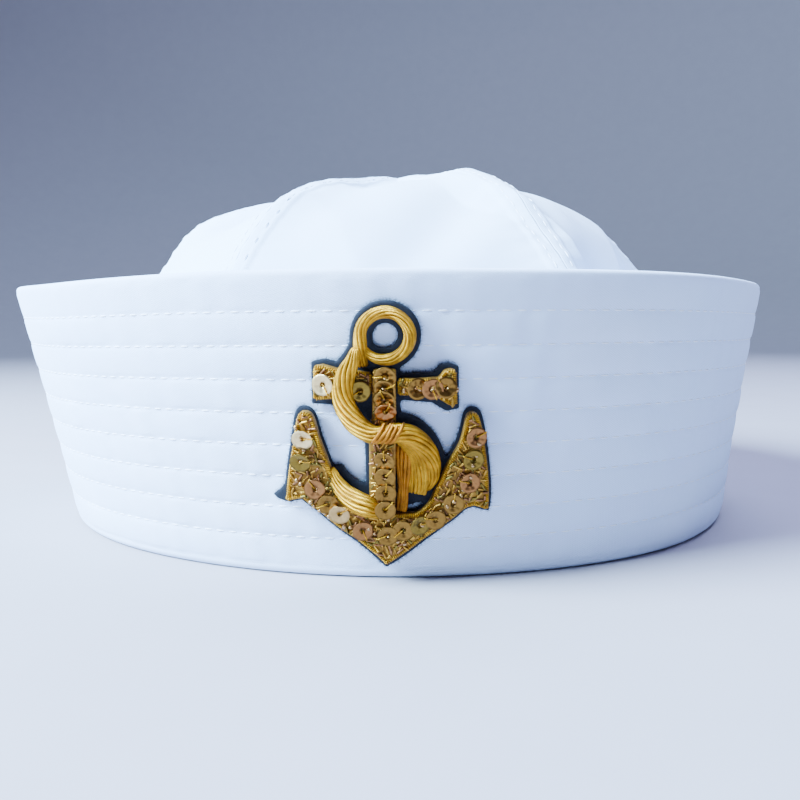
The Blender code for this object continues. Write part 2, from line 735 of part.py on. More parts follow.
def main():
    clear_scene()
    collection = bpy.data.collections.new("sailor_cap")
    bpy.context.scene.collection.children.link(collection)
    root = bpy.data.objects.new("sailor_cap", None)
    collection.objects.link(root)
    quilted = material("quilted_cotton", (0.80, 0.84, 0.92), 0.85)
    twill = material("white_cotton_twill", (0.84, 0.88, 0.94), 0.85)
    felt = material("navy_felt", (0.015, 0.020, 0.045), 0.95)
    bullion = material("gold_bullion", (0.42, 0.26, 0.06), 0.40, 0.9)
    purl = material("gold_rope_purl", (0.58, 0.36, 0.07), 0.35, 0.9)
    foil = material("sequin_foil", (0.72, 0.50, 0.26), 0.25, 1.0)

    made = [(make_brim(), quilted)]
    made += [(make_gore(number), twill) for number in range(GORES)]
    made.append((make_felt(), felt))
    arms = flat_piece("anchor_arms", smooth_outline(ARMS_OUTLINE), GOLD_LOW, GOLD_TOP, GOLD_EDGE)
    shank = flat_piece("anchor_shank", shank_outline(), GOLD_LOW, GOLD_TOP, GOLD_EDGE)
    made += [(lay_on_brim(arms), bullion), (lay_on_brim(shank), bullion)]
    for stock, side in zip(STOCKS, ("left", "right")):
        bar = flat_piece(f"anchor_stock_{side}", stock_outline(stock), GOLD_LOW, GOLD_TOP, GOLD_EDGE)
        made.append((lay_on_brim(bar), bullion))
    made.append((make_ring(), purl))
    for name, path in (("anchor_rope", ROPE_PATH), ("anchor_rope_tail", TAIL_PATH)):
        made.append((make_rope(name, rope_spots(path, ROPE_WIDTH), ROPE_WIDTH), purl))
    coil = flat_piece("anchor_rope_coil", coil_outline(), GOLD_LOW, GOLD_TOP, GOLD_EDGE)
    made.append((lay_on_brim(coil), purl))
    made += [(sequin, foil) for sequin in make_sequins()]

    for item, finish in made:
        if not item.data.materials:
            item.data.materials.append(finish)
        link(item, collection, root)
        item.data.shade_smooth()
        item.data.set_sharp_from_angle(angle=math.radians(40))


main()
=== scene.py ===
# %% [markdown]
# # A white sailor cap with a gold anchor badge
#
# The real cap is sewn from white cotton. Six wedge-shaped panels, the gores, make a soft crown,
# and a brim of several layers, quilted together by rows of stitching, is turned up all round it.
# On the front sits an embroidered badge: a navy felt backing with an anchor of gold thread,
# purl wire and sequins.
#
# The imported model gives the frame: the real sizes and the place of every piece. This script
# dresses each of those plain solids with cloth, thread and metal.

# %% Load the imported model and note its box
import math
from collections import namedtuple

import bpy
import numpy as np
from mathutils import Matrix, Vector


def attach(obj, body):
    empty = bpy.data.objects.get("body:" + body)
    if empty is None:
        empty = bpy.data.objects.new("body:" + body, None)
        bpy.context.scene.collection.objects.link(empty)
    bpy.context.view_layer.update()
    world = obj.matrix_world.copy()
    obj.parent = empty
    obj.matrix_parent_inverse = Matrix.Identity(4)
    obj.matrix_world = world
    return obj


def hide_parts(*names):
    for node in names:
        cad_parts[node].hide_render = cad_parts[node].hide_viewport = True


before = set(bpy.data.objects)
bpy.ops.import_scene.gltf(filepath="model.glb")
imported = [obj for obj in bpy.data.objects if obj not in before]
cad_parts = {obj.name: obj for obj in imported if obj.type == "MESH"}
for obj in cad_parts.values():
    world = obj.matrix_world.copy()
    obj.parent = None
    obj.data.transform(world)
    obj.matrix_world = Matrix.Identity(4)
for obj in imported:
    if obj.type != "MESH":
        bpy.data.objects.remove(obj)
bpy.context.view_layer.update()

# %% [markdown]
# ## Sizes
#
# Every length here is in metres and repeats a size of the real cap: the oval fold that it
# stands on, how high the brim is, how far it leans out, and how thick its layers are.

# %% Name the cap's sizes
MM = 0.001
HALF_WIDTH = 92 * MM
HALF_LENGTH = 96 * MM
BRIM_HEIGHT = 60 * MM
SIDE_FLARE = 9.8 * MM
FRONT_FLARE = 11.9 * MM
FOLD_SHIFT = 2.6 * MM
BRIM_THICKNESS = 2.6 * MM
FOLD_RADIUS = 2.0 * MM
FOLD_WIDTH = 6.2 * MM
LIP_THICKNESS = 1.4 * MM
LIP_HEIGHT = 9 * MM
QUILT_BANDS = 9
CROWN_HEIGHT = 92 * MM
CROWN_FOOT = 1.9 * MM
CROWN_INSET = 3.1 * MM
CROWN_FULLNESS = 2.4
CROWN_CLOTH = 1.2 * MM
GORES = 6
print("The fold is", round(2 * HALF_WIDTH / MM), "by", round(2 * HALF_LENGTH / MM), "mm")

# %% [markdown]
# ## Small tools for building
#
# Cloth is a grid of points that is bent into shape, so one helper turns an array of points into
# a mesh. It can close the grid round in either direction. The arrays come from numpy, which
# works out all the points of a piece at once.
#
# Each vertex also keeps where it lies on the flat cloth, in metres, as a UV map. The weave is
# drawn from that, so it runs along the cloth and keeps its real scale.

# %% Turn arrays of points into meshes
cap_collection = bpy.data.collections.new("dressed_cap")
bpy.context.scene.collection.children.link(cap_collection)


def add_object(name, mesh, material, body="root"):
    """Links a finished mesh as a piece of the cap that rides on a body."""
    piece = bpy.data.objects.new(name, mesh)
    cap_collection.objects.link(piece)
    piece.data.materials.clear()
    piece.data.materials.append(material)
    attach(piece, body)
    return piece


def mesh_from_arrays(name, points, faces, uv=None, whole=None):
    """A smooth-shaded mesh from points and faces, with a flat place for each vertex.

    Where a grid closes on itself, whole is its full length both ways, so that the
    last faces run on to it instead of back to zero."""
    mesh = bpy.data.meshes.new(name)
    mesh.from_pydata(np.asarray(points).tolist(), [], list(faces))
    mesh.update()
    mesh.shade_smooth()
    if uv is not None:
        layer = mesh.uv_layers.new(name="cloth")
        corners = np.empty(len(mesh.loops), dtype=np.int32)
        mesh.loops.foreach_get("vertex_index", corners)
        places = np.asarray(uv, dtype=np.float32)[corners]
        if whole is not None:
            quads = places.reshape(-1, 4, 2)
            behind = quads.max(axis=1, keepdims=True) - quads
            quads += np.where(behind > np.array(whole) / 2, whole, 0.0)
        layer.data.foreach_set("uv", places.ravel())
    return mesh


def grid_faces(rows, columns, close_rows=False, close_columns=False, start=0):
    """Quads that join a rows by columns grid of points, numbered row by row."""
    down = np.arange(rows if close_rows else rows - 1)
    across = np.arange(columns if close_columns else columns - 1)
    row, column = np.meshgrid(down, across, indexing="ij")
    next_row, next_column = (row + 1) % rows, (column + 1) % columns
    quads = np.stack(
        [
            row * columns + column,
            row * columns + next_column,
            next_row * columns + next_column,
            next_row * columns + column,
        ],
        axis=-1,
    )
    return quads.reshape(-1, 4) + start


def smooth_step(value, low, high):
    """0 below low, 1 above high, and an even rise between them."""
    share = np.clip((value - low) / (high - low), 0.0, 1.0)
    return share * share * (3 - 2 * share)


def ripple(angle, seed, first, last, count=9):
    """An irregular wave round the cap, about -1 to 1, of whole-number wave counts."""
    random = np.random.default_rng(seed)
    total = np.zeros_like(np.asarray(angle, dtype=float))
    for _ in range(count):
        waves = int(random.integers(first, last + 1))
        total += random.uniform(0.5, 1.0) * np.cos(waves * angle + random.uniform(0, 2 * math.pi))
    return total / (0.75 * math.sqrt(count))


# %% [markdown]
# ## Materials from what the cloth really is
#
# Colours are written as the sRGB hex values that a colour picker shows, and one function turns
# them into the linear values that Blender's shaders use. A second function adds one node, sets
# its values and makes its links, and every material is built with it.

# %% Read colours and add nodes
def hex_colour(code):
    """An sRGB colour such as "#F2F5FA" as linear red, green, blue and alpha."""
    found = []
    for start in (1, 3, 5):
        value = int(code[start : start + 2], 16) / 255
        found.append(value / 12.92 if value <= 0.04045 else ((value + 0.055) / 1.055) ** 2.4)
    return (*found, 1.0)


def node(material, kind, settings=None, inputs=None, links=None):
    """Adds one node. inputs are plain values, and links are (socket, node, its output)."""
    made = material.node_tree.nodes.new(kind)
    for key, value in (settings or {}).items():
        setattr(made, key, value)
    for key, value in (inputs or {}).items():
        made.inputs[key].default_value = value
    for key, source, output in links or ():
        material.node_tree.links.new(source.outputs[output], made.inputs[key])
    return made


def new_material(name, **shader_values):
    """A material with only a Principled shader, whose sockets are set directly."""
    made = bpy.data.materials.new(name)
    made.use_nodes = True
    shader = made.node_tree.nodes["Principled BSDF"]
    for key, value in shader_values.items():
        shader.inputs[key.replace("_", " ")].default_value = value
    return made, shader


def connect(material, source, output, target, socket):
    """One link between two nodes."""
    material.node_tree.links.new(source.outputs[output], target.inputs[socket])


# %% [markdown]
# ### Bleached cotton twill
#
# The crown is bleached cotton twill: cotton yarn woven so that each thread steps one place
# sideways from row to row. That gives the eye a fine diagonal rib and a matt, slightly soft
# white that turns bluish in cool light. Cotton's refractive index is about 1.53.
#
# Twill yarn is about 0.35 mm thick. A rib that fine would flicker at this image size, so it is
# drawn at 0.7 mm, twice as coarse as the real one.

# %% Weave the cotton
TWILL_RIB = 0.7 * MM


def cotton_twill(name, light, dark, rib_depth, blotch_scale):
    """Cotton twill, drawn on the cloth's own flat position."""
    cloth, shader = new_material(name, Roughness=0.92, IOR=1.53)
    shader.inputs["Sheen Weight"].default_value = 0.12
    shader.inputs["Sheen Roughness"].default_value = 0.5
    place = node(cloth, "ShaderNodeUVMap", {"uv_map": "cloth"})
    turned = node(
        cloth,
        "ShaderNodeMapping",
        inputs={"Rotation": (0, 0, math.radians(58))},
        links=[("Vector", place, "UV")],
    )
    wave = {"wave_type": "BANDS", "bands_direction": "X", "wave_profile": "SIN"}
    waves_per_metre = math.pi / (10 * TWILL_RIB)
    rib = node(
        cloth,
        "ShaderNodeTexWave",
        wave,
        {"Scale": waves_per_metre * 2, "Distortion": 0.6, "Detail": 1.0, "Detail Scale": 1.0},
        [("Vector", turned, "Vector")],
    )
    slub = node(
        cloth,
        "ShaderNodeTexNoise",
        {"noise_dimensions": "2D"},
        {"Scale": 1 / (0.9 * MM), "Detail": 3.0, "Roughness": 0.6},
        [("Vector", place, "UV")],
    )
    rise = node(
        cloth,
        "ShaderNodeMix",
        {"data_type": "FLOAT"},
        {"Factor": 0.45},
        [("A", rib, "Fac"), ("B", slub, "Fac")],
    )
    bump = node(
        cloth,
        "ShaderNodeBump",
        inputs={"Strength": 1.0, "Distance": rib_depth},
        links=[("Height", rise, "Result")],
    )
    where = node(cloth, "ShaderNodeTexCoord")
    blotch = node(
        cloth,
        "ShaderNodeTexNoise",
        inputs={"Scale": blotch_scale, "Detail": 4.0, "Roughness": 0.55},
        links=[("Vector", where, "Object")],
    )
    shade = node(
        cloth,
        "ShaderNodeMapRange",
        inputs={"From Min": 0.3, "From Max": 0.7},
        links=[("Value", blotch, "Fac")],
    )
    tint = node(
        cloth,
        "ShaderNodeMix",
        {"data_type": "RGBA"},
        {"A": hex_colour(light), "B": hex_colour(dark)},
        [("Factor", shade, "Result")],
    )
    connect(cloth, tint, "Result", shader, "Base Color")
    connect(cloth, bump, "Normal", shader, "Normal")
    return cloth


crown_cotton = cotton_twill("bleached_cotton_twill", "#DAEDFF", "#D2E6FD", 0.05 * MM, 22)
brim_cotton = cotton_twill("quilted_cotton_twill", "#DDEBFF", "#D2E2FC", 0.06 * MM, 26)
print("A twill rib is drawn", round(TWILL_RIB / MM, 2), "mm wide")

# %% [markdown]
# ### Sewing thread
#
# The rows of quilting are sewn in white mercerised cotton, which is smooth and has a faint
# shine, so it is a little whiter and glossier than the twill round it.

# %% Spin the thread
sewing_thread, shader = new_material(
    "mercerised_cotton_thread", Base_Color=hex_colour("#F4F6FB"), Roughness=0.6, IOR=1.53
)
print("Thread material:", sewing_thread.name)

# %% [markdown]
# ## The brim
#
# The real brim is four layers of twill, quilted together flat by rows of stitching, sewn into a
# ring and turned up. Between two rows of stitches the layers puff, and along each row they are
# drawn in, with tiny puckers.
#
# It is built as a closed section, a list of (outward, height) pairs, that is swept round the
# oval of the fold. Sweeping a drawn section keeps the wall's thickness true everywhere, and the
# puff and the puckers are then added along the section's outward side.
#
# A worn brim is never a true cone. The table below says, in millimetres, how far its rim stands
# out and up, and how far its foot stands out, at a few azimuths round the cap.

# %% Note how the brim is bent
Bend = namedtuple("Bend", "azimuth rim_out rim_up foot_out")
BENDS = (
    Bend(azimuth=-180, rim_out=0.4, rim_up=0.3, foot_out=0.0),
    Bend(azimuth=-150, rim_out=-0.9, rim_up=0.6, foot_out=0.3),
    Bend(azimuth=-120, rim_out=0.6, rim_up=-0.4, foot_out=-0.4),
    Bend(azimuth=-90, rim_out=1.2, rim_up=0.0, foot_out=0.2),
    Bend(azimuth=-66, rim_out=0.9, rim_up=0.1, foot_out=0.5),
    Bend(azimuth=-47, rim_out=0.3, rim_up=-0.9, foot_out=0.3),
    Bend(azimuth=-31, rim_out=0.0, rim_up=-0.4, foot_out=-0.7),
    Bend(azimuth=-15, rim_out=0.0, rim_up=0.1, foot_out=-0.7),
    Bend(azimuth=0, rim_out=0.0, rim_up=0.0, foot_out=0.0),
    Bend(azimuth=14, rim_out=0.0, rim_up=0.0, foot_out=0.4),
    Bend(azimuth=26, rim_out=0.0, rim_up=0.2, foot_out=1.3),
    Bend(azimuth=42, rim_out=0.4, rim_up=0.1, foot_out=1.9),
    Bend(azimuth=56, rim_out=0.8, rim_up=-0.2, foot_out=1.1),
    Bend(azimuth=70, rim_out=0.9, rim_up=-0.1, foot_out=0.4),
    Bend(azimuth=90, rim_out=0.8, rim_up=0.2, foot_out=0.0),
    Bend(azimuth=124, rim_out=-0.6, rim_up=0.5, foot_out=-0.4),
    Bend(azimuth=152, rim_out=0.9, rim_up=-0.4, foot_out=0.3),
)


def bend_curve(column):
    """One column of the table as a soft curve at -180 to 179 degrees, in metres."""
    azimuths = [bend.azimuth for bend in BENDS]
    values = [getattr(bend, column) * MM for bend in BENDS]
    plain = np.interp(np.arange(-180, 180), azimuths, values, period=360)
    reach = np.arange(-18, 19)
    weights = np.exp(-((reach / 8) ** 2))
    return sum(w * np.roll(plain, k) for w, k in zip(weights, reach)) / weights.sum()


rim_out, rim_up, foot_out = (bend_curve(name) for name in ("rim_out", "rim_up", "foot_out"))
edge = BRIM_THICKNESS / 2
print("The rim stands up to", round(float(rim_out.max()) / MM, 1), "mm further out")

# %% Sweep points round the oval
LAP_RISE = 0.55 * MM
LAP_STEP = (4.2 * MM, 4.8 * MM)
LAP_ROW = 2.9 * MM
WANDER = 0.9 * MM


def oval(angle, outward, height, shift):
    """Points outward of the base oval. angle is 0 at the front and grows to the right."""
    across = (HALF_WIDTH + outward) * np.sin(angle) + shift
    along = -(HALF_LENGTH + outward) * np.cos(angle)
    return np.stack(np.broadcast_arrays(across, along, height), axis=-1)


def at_azimuth(curve, angle):
    """A curve's value at each angle, from its values at -180 to 179 degrees."""
    return np.interp(np.degrees(angle), np.arange(-180, 180), curve, period=360)


def around_cap(angle, azimuth):
    """How far round the cap angle is from azimuth, the short way, in radians."""
    return (angle - math.radians(azimuth) + math.pi) % (2 * math.pi) - math.pi


def fold_place(angle, outward, height):
    """Points of the fold at the foot, which stays level on the floor."""
    weight = smooth_step(outward, -FOLD_WIDTH, -FOLD_RADIUS)
    return oval(angle, outward + weight * at_azimuth(foot_out, angle), height, FOLD_SHIFT)


def brim_place(angle, outward, height):
    """Points of the leaning brim, outward of its plain outer face."""
    share = np.maximum(0.0, (height - FOLD_RADIUS) / (BRIM_HEIGHT - FOLD_RADIUS))
    flare = (SIDE_FLARE * np.sin(angle) ** 2 + FRONT_FLARE * np.cos(angle) ** 2) * share
    flare = flare + at_azimuth(foot_out, angle) * (1 - share) ** 2
    flare = flare + at_azimuth(rim_out, angle) * share**2
    behind = 0.2 + 0.8 * np.sin(angle / 2) ** 2
    wander = WANDER * ripple(angle, 12, 5, 12) * behind * smooth_step(share, 0.15, 1.0)
    join = np.abs(around_cap(angle, 180)) * HALF_WIDTH
    lap = LAP_RISE * (1 - smooth_step(join, *LAP_STEP)) * smooth_step(share, 0, 0.06)
    rise = at_azimuth(rim_up, angle) * share**2
    place = np.where(outward > -edge, outward + lap, outward) + flare + wander
    return oval(angle, place, height + rise, FOLD_SHIFT * (1 - share))


def arc(middle, radius, start, turn, steps):
    """Points on an arc of the section, from start degrees through turn degrees."""
    angles = np.radians(start + turn * np.arange(steps + 1) / steps)
    return [(middle[0] + radius * math.cos(a), middle[1] + radius * math.sin(a)) for a in angles]


wall_top = BRIM_HEIGHT - edge
band_height = (wall_top - FOLD_RADIUS) / QUILT_BANDS
STEPS_IN_BAND = 12
outer_heights = [
    wall_top + (FOLD_RADIUS - wall_top) * step / (STEPS_IN_BAND * QUILT_BANDS)
    for step in range(STEPS_IN_BAND * QUILT_BANDS)
]
inner_heights = list(np.linspace(LIP_THICKNESS + 0.4 * MM, wall_top, 6 * QUILT_BANDS + 1))
lip_outward = LIP_THICKNESS - FOLD_WIDTH

fold_part = arc((-FOLD_RADIUS, FOLD_RADIUS), FOLD_RADIUS, 0, -90, 8)
fold_part += arc((FOLD_RADIUS - FOLD_WIDTH, FOLD_RADIUS), FOLD_RADIUS, 270, -90, 8)
fold_part += [(-FOLD_WIDTH, height) for height in np.linspace(3 * MM, LIP_HEIGHT - 0.7 * MM, 7)]
fold_part += arc((lip_outward - 0.7 * MM, LIP_HEIGHT - 0.7 * MM), 0.7 * MM, 180, -180, 6)
fold_part += [(lip_outward, 5 * MM), (lip_outward, LIP_THICKNESS)]
fold_part.append((-BRIM_THICKNESS, LIP_THICKNESS))
wall_part = [(-BRIM_THICKNESS, height) for height in inner_heights]
wall_part += arc((-edge, wall_top), edge, 180, -180, 8)[1:-1]
wall_part += [(0.0, height) for height in outer_heights]
print("The brim's section has", len(fold_part) + len(wall_part), "points")

# %% [markdown]
# The puff of one band is a rounded hump between two stitch rows. Its height changes slowly round
# the cap, because no two hand-spans of quilting are padded alike, and the puckers are small
# waves that are strongest beside the stitches. The top band is the hem, which is flatter.

# %% Puff and pucker the quilting
QUILT_PUFF = 0.30 * MM
PUCKER = 0.11 * MM


def quilting(angle, height):
    """How far the quilted cloth stands out from the stitch rows' level."""
    depth = (wall_top - height) / band_height
    band = np.clip(np.floor(depth), 0, QUILT_BANDS - 1).astype(int)
    across = np.clip(depth - band, 0.0, 1.0)
    hump = (1 - (2 * across - 1) ** 2) ** 0.62
    total = np.zeros(np.broadcast(angle, height).shape)
    for number in range(QUILT_BANDS):
        here = band == number
        fullness = (0.6 if number == 0 else 1.0) * (1 + 0.3 * ripple(angle, 30 + number, 3, 14))
        pucker = PUCKER * ripple(angle, 50 + number, 45, 120, 14)
        pucker = pucker + 0.6 * PUCKER * ripple(angle, 70 + number, 14, 40)
        slack = 0.35 + 0.65 * np.abs(2 * across - 1) ** 1.5
        total += np.where(here, QUILT_PUFF * fullness * hump + pucker * slack * hump**0.4, 0.0)
    inside = (height < wall_top) & (height > FOLD_RADIUS)
    return np.where(inside, total, 0.0)


# %% Build the brim
BRIM_COLUMNS = 480


def make_brim():
    """The brim as one closed ring of cloth."""
    angle = np.linspace(-math.pi, math.pi, BRIM_COLUMNS, endpoint=False)
    rows, lengths, walked, before = [], [], 0.0, None
    for number, (outward, height) in enumerate(fold_part + wall_part):
        if before is not None:
            walked += math.hypot(outward - before[0], height - before[1])
        before = (outward, height)
        lengths.append(walked)
        if number < len(fold_part):
            rows.append(fold_place(angle, np.full_like(angle, outward), height))
            continue
        heights = np.full_like(angle, height)
        puff = quilting(angle, heights)
        side = 1.0 if outward > -edge else -0.5
        place = outward + side * puff
        rows.append(brim_place(angle, place, heights))
    points = np.array(rows)
    faces = grid_faces(len(rows), BRIM_COLUMNS, close_rows=True, close_columns=True)
    mean = (HALF_WIDTH + HALF_LENGTH) / 2
    uv = np.stack(np.meshgrid(lengths, angle * mean, indexing="ij")[::-1], axis=-1)
    whole = (2 * math.pi * mean, walked + 1 * MM)
    return mesh_from_arrays(
        "brim_quilted", points.reshape(-1, 3), faces[:, ::-1].tolist(), uv.reshape(-1, 2), whole
    )


brim = add_object("brim_quilted", make_brim(), brim_cotton)
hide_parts("brim")
print("The brim has", len(brim.data.polygons), "faces")

# %% [markdown]
# ### The rows of stitches
#
# A lockstitch shows as a row of short lengths of thread, each dipping into the cloth at both
# ends. Eight stitches to the inch is usual for quilting, so there is one every 3 mm, in thread
# a third of a millimetre wide. Each is a small spindle of mesh, and one function lays the same
# spindle along any line on the cloth. Two upright rows at the back sew down the lap where the
# brim's ends meet.

# %% Lay stitches along a line
STITCH_PITCH = 3.0 * MM
THREAD_WIDTH = 0.34 * MM
STITCH_SHARE = 0.8


def walked_along(points):
    """How far along a line each of its points is."""
    steps = np.linalg.norm(np.diff(points, axis=0), axis=1)
    return np.concatenate([[0], np.cumsum(steps)])


def spindle(rings, sides):
    """A thin rounded bar along X from -0.5 to 0.5, with a radius of 1 in the middle."""
    points, faces = [], []
    for ring in range(rings):
        share = ring / (rings - 1)
        radius = max(0.12, math.sin(math.pi * share) ** 0.5)
        for side in range(sides):
            turn = 2 * math.pi * (side + 0.5) / sides
            points.append((share - 0.5, radius * math.cos(turn), radius * math.sin(turn)))
    faces = grid_faces(rings, sides, close_columns=True).tolist()
    caps = [list(range(sides))[::-1], list(range((rings - 1) * sides, rings * sides))]
    return np.array(points), faces, caps


def copies(name, shape, centres, along, out, length, radius, sink=0.0):
    """One mesh of many copies of a shape, each laid along a direction on a surface."""
    points, quads, caps = shape
    along = along / np.linalg.norm(along, axis=1, keepdims=True)
    out = out - along * np.sum(out * along, axis=1, keepdims=True)
    out = out / np.linalg.norm(out, axis=1, keepdims=True)
    side = np.cross(out, along)
    length = np.broadcast_to(length, (len(centres),))[:, None, None]
    radius = np.broadcast_to(radius, (len(centres),))[:, None, None]
    bend = sink * (2 * points[None, :, 0:1]) ** 2
    all_points = (
        centres[:, None, :]
        + along[:, None, :] * points[None, :, 0:1] * length
        + side[:, None, :] * points[None, :, 1:2] * radius
        + out[:, None, :] * (points[None, :, 2:3] * radius - bend)
    ).reshape(-1, 3)
    count = len(points)
    starts = np.arange(len(centres)) * count
    faces = (np.array(quads)[None] + starts[:, None, None]).reshape(-1, 4).tolist()
    for cap in caps:
        faces += (np.array(cap)[None] + starts[:, None]).tolist()
    mesh = bpy.data.meshes.new(name)
    mesh.from_pydata(all_points.tolist(), [], faces)
    mesh.update()
    mesh.shade_smooth()
    return mesh


def along_line(line, pitch):
    """Even places along a closed line of points: centres and the line's directions there."""
    closed = np.vstack([line, line[:1]])
    walked = walked_along(closed)
    count = max(1, int(round(walked[-1] / pitch)))
    at = (np.arange(count) + 0.5) * walked[-1] / count
    centres = np.stack([np.interp(at, walked, closed[:, k]) for k in range(3)], axis=1)
    ahead = np.stack([np.interp(at + pitch * 0.2, walked, closed[:, k]) for k in range(3)], axis=1)
    return centres, ahead - centres


def brim_stitches():
    """All the rows of stitches, on the brim's outside and inside."""
    angle = np.linspace(0, 2 * math.pi, 720, endpoint=False)
    found = []
    for row in range(1, QUILT_BANDS):
        height = np.full_like(angle, wall_top - row * band_height)
        for outward, side in ((0.0, 1.0), (-BRIM_THICKNESS, -1.0)):
            line = brim_place(angle, outward + side * 0.03 * MM, height)
            centres, along = along_line(line, STITCH_PITCH)
            turn = np.arctan2(centres[:, 0], -centres[:, 1])
            out = np.stack([np.sin(turn), -np.cos(turn), np.full_like(turn, -0.17)], axis=1) * side
            found.append((centres, along, out))
    heights = np.arange(5 * MM, wall_top - 1 * MM, STITCH_PITCH)
    for side in (-1, 1):
        turn = np.full_like(heights, math.pi + side * LAP_ROW / HALF_WIDTH)
        centres = brim_place(turn, 0.05 * MM, heights)
        ahead = brim_place(turn, 0.05 * MM, heights + 0.5 * MM)
        found.append((centres, ahead - centres, np.tile((0, 1.0, -0.17), (len(heights), 1))))
    centres, along, out = (np.vstack(parts) for parts in zip(*found))
    return copies(
        "brim_stitches", spindle(5, 5), centres, along, out,
        STITCH_PITCH * STITCH_SHARE, THREAD_WIDTH / 2, sink=0.12 * MM,
    )


stitches = add_object("brim_stitches", brim_stitches(), sewing_thread)
print("The brim's stitches have", len(stitches.data.polygons), "faces")

# %% [markdown]
# ## The crown
#
# Each gore is one layer of twill, cut as a wedge. Sewn together they make a dome that is too
# soft to stand smooth, so it sinks between the seams and falls in folds. Its seams are
# flat-felled: one panel's edge is folded over the other's and sewn down with two rows of
# stitches, which makes a raised band about 7 mm wide.
#
# The dome is a rounded profile that is pushed in and out by short tables: FOLDS for soft
# dents and ridges, and CREASES for sharper lines pressed into the cloth. The seams' ridges, the
# felled bands and the puckers beside them are added on top.

# %% Shape the dome
SEAM_RIDGE = 1.6 * MM
SEAM_RIDGE_WIDTH = 7 * MM
PANEL_SAG = 0.30

Fold = namedtuple("Fold", "azimuth rise turn width length push")
FOLDS = (
    Fold(azimuth=27, rise=0.74, turn=0, width=0.13, length=0.16, push=0.026),
    Fold(azimuth=-28, rise=0.66, turn=10, width=0.17, length=0.34, push=0.004),
    Fold(azimuth=12, rise=0.60, turn=-32, width=0.11, length=0.30, push=-0.026),
    Fold(azimuth=38, rise=0.50, turn=-24, width=0.08, length=0.26, push=0.018),
    Fold(azimuth=64, rise=0.62, turn=12, width=0.30, length=0.26, push=0.032),
    Fold(azimuth=-66, rise=0.74, turn=-15, width=0.20, length=0.18, push=-0.044),
    Fold(azimuth=-88, rise=0.60, turn=0, width=0.24, length=0.16, push=0.030),
    Fold(azimuth=112, rise=0.62, turn=18, width=0.14, length=0.30, push=-0.024),
    Fold(azimuth=158, rise=0.70, turn=-14, width=0.16, length=0.28, push=0.022),
    Fold(azimuth=-140, rise=0.56, turn=26, width=0.13, length=0.30, push=-0.026),
    Fold(azimuth=-17, rise=0.85, turn=0, width=0.075, length=0.12, push=-0.036),
    Fold(azimuth=20, rise=0.86, turn=0, width=0.080, length=0.12, push=-0.014),
)


def dome(rise):
    """(radius, height) shares on the plain dome, and the outward direction there."""
    turn = rise * math.pi / 2
    radius = np.maximum(np.cos(turn), 1e-9) ** (2 / CROWN_FULLNESS)
    height = np.sin(turn) ** (2 / CROWN_FULLNESS)
    slope = CROWN_FULLNESS - 1
    out = np.stack(
        [
            radius**slope / (HALF_WIDTH - CROWN_INSET),
            np.maximum(height, 1e-9) ** slope / (CROWN_HEIGHT - CROWN_FOOT),
        ],
        axis=-1,
    )
    return radius, height, out / np.linalg.norm(out, axis=-1, keepdims=True)


def fold_push(angle, rise, radius):
    """How far all the folds together push the cloth out."""
    total = 0.0
    run = rise * math.pi / 2 * CROWN_HEIGHT
    for fold in FOLDS:
        across = around_cap(angle, fold.azimuth) * radius
        up = run - fold.rise * math.pi / 2 * CROWN_HEIGHT
        turn = math.radians(fold.turn)
        wide = across * math.cos(turn) + up * math.sin(turn)
        long = up * math.cos(turn) - across * math.sin(turn)
        wide, long = wide / (fold.width * CROWN_HEIGHT), long / (fold.length * CROWN_HEIGHT)
        total = total + fold.push * CROWN_HEIGHT * np.exp(-wide * wide - long * long)
    return total


print("The crown has", len(FOLDS), "soft folds")

# %% [markdown]
# A crease is a line across the panel where the cloth was pressed. It stands up like a small
# roof, or sinks where its push is negative, and it fades out at both ends. The front of the
# crown has one broad crease that runs down from the right-hand peak, with a hollow beside it,
# and a softer one beside the left-hand ridge. The rest of the crown has a few more, as soft
# cotton has from being folded flat. The last two columns are the push and the width in
# millimetres.

# %% Press creases into it
Crease = namedtuple("Crease", "azimuth rise to_azimuth to_rise push width")
CREASES = (
    Crease(25, 0.80, 38, 0.40, 1.6, 4.2),
    Crease(19, 0.76, 31, 0.42, -1.7, 5.6),
    Crease(-27, 0.70, -36, 0.40, 0.9, 4.4),
    Crease(-15, 0.60, -4, 0.42, 0.4, 5.0),
    Crease(44, 0.74, 60, 0.52, -0.7, 5.0),
    Crease(66, 0.62, 52, 0.40, 0.7, 4.5),
    Crease(-48, 0.72, -62, 0.46, -0.8, 5.0),
    Crease(-74, 0.66, -58, 0.40, 0.7, 4.0),
    Crease(-96, 0.78, -112, 0.44, 1.0, 4.5),
    Crease(100, 0.76, 118, 0.40, -1.0, 4.5),
    Crease(134, 0.70, 118, 0.46, 0.9, 4.0),
    Crease(168, 0.78, 186, 0.42, 1.1, 4.5),
    Crease(-128, 0.74, -150, 0.50, -0.9, 5.0),
    Crease(-160, 0.60, -136, 0.36, 0.8, 4.0),
)


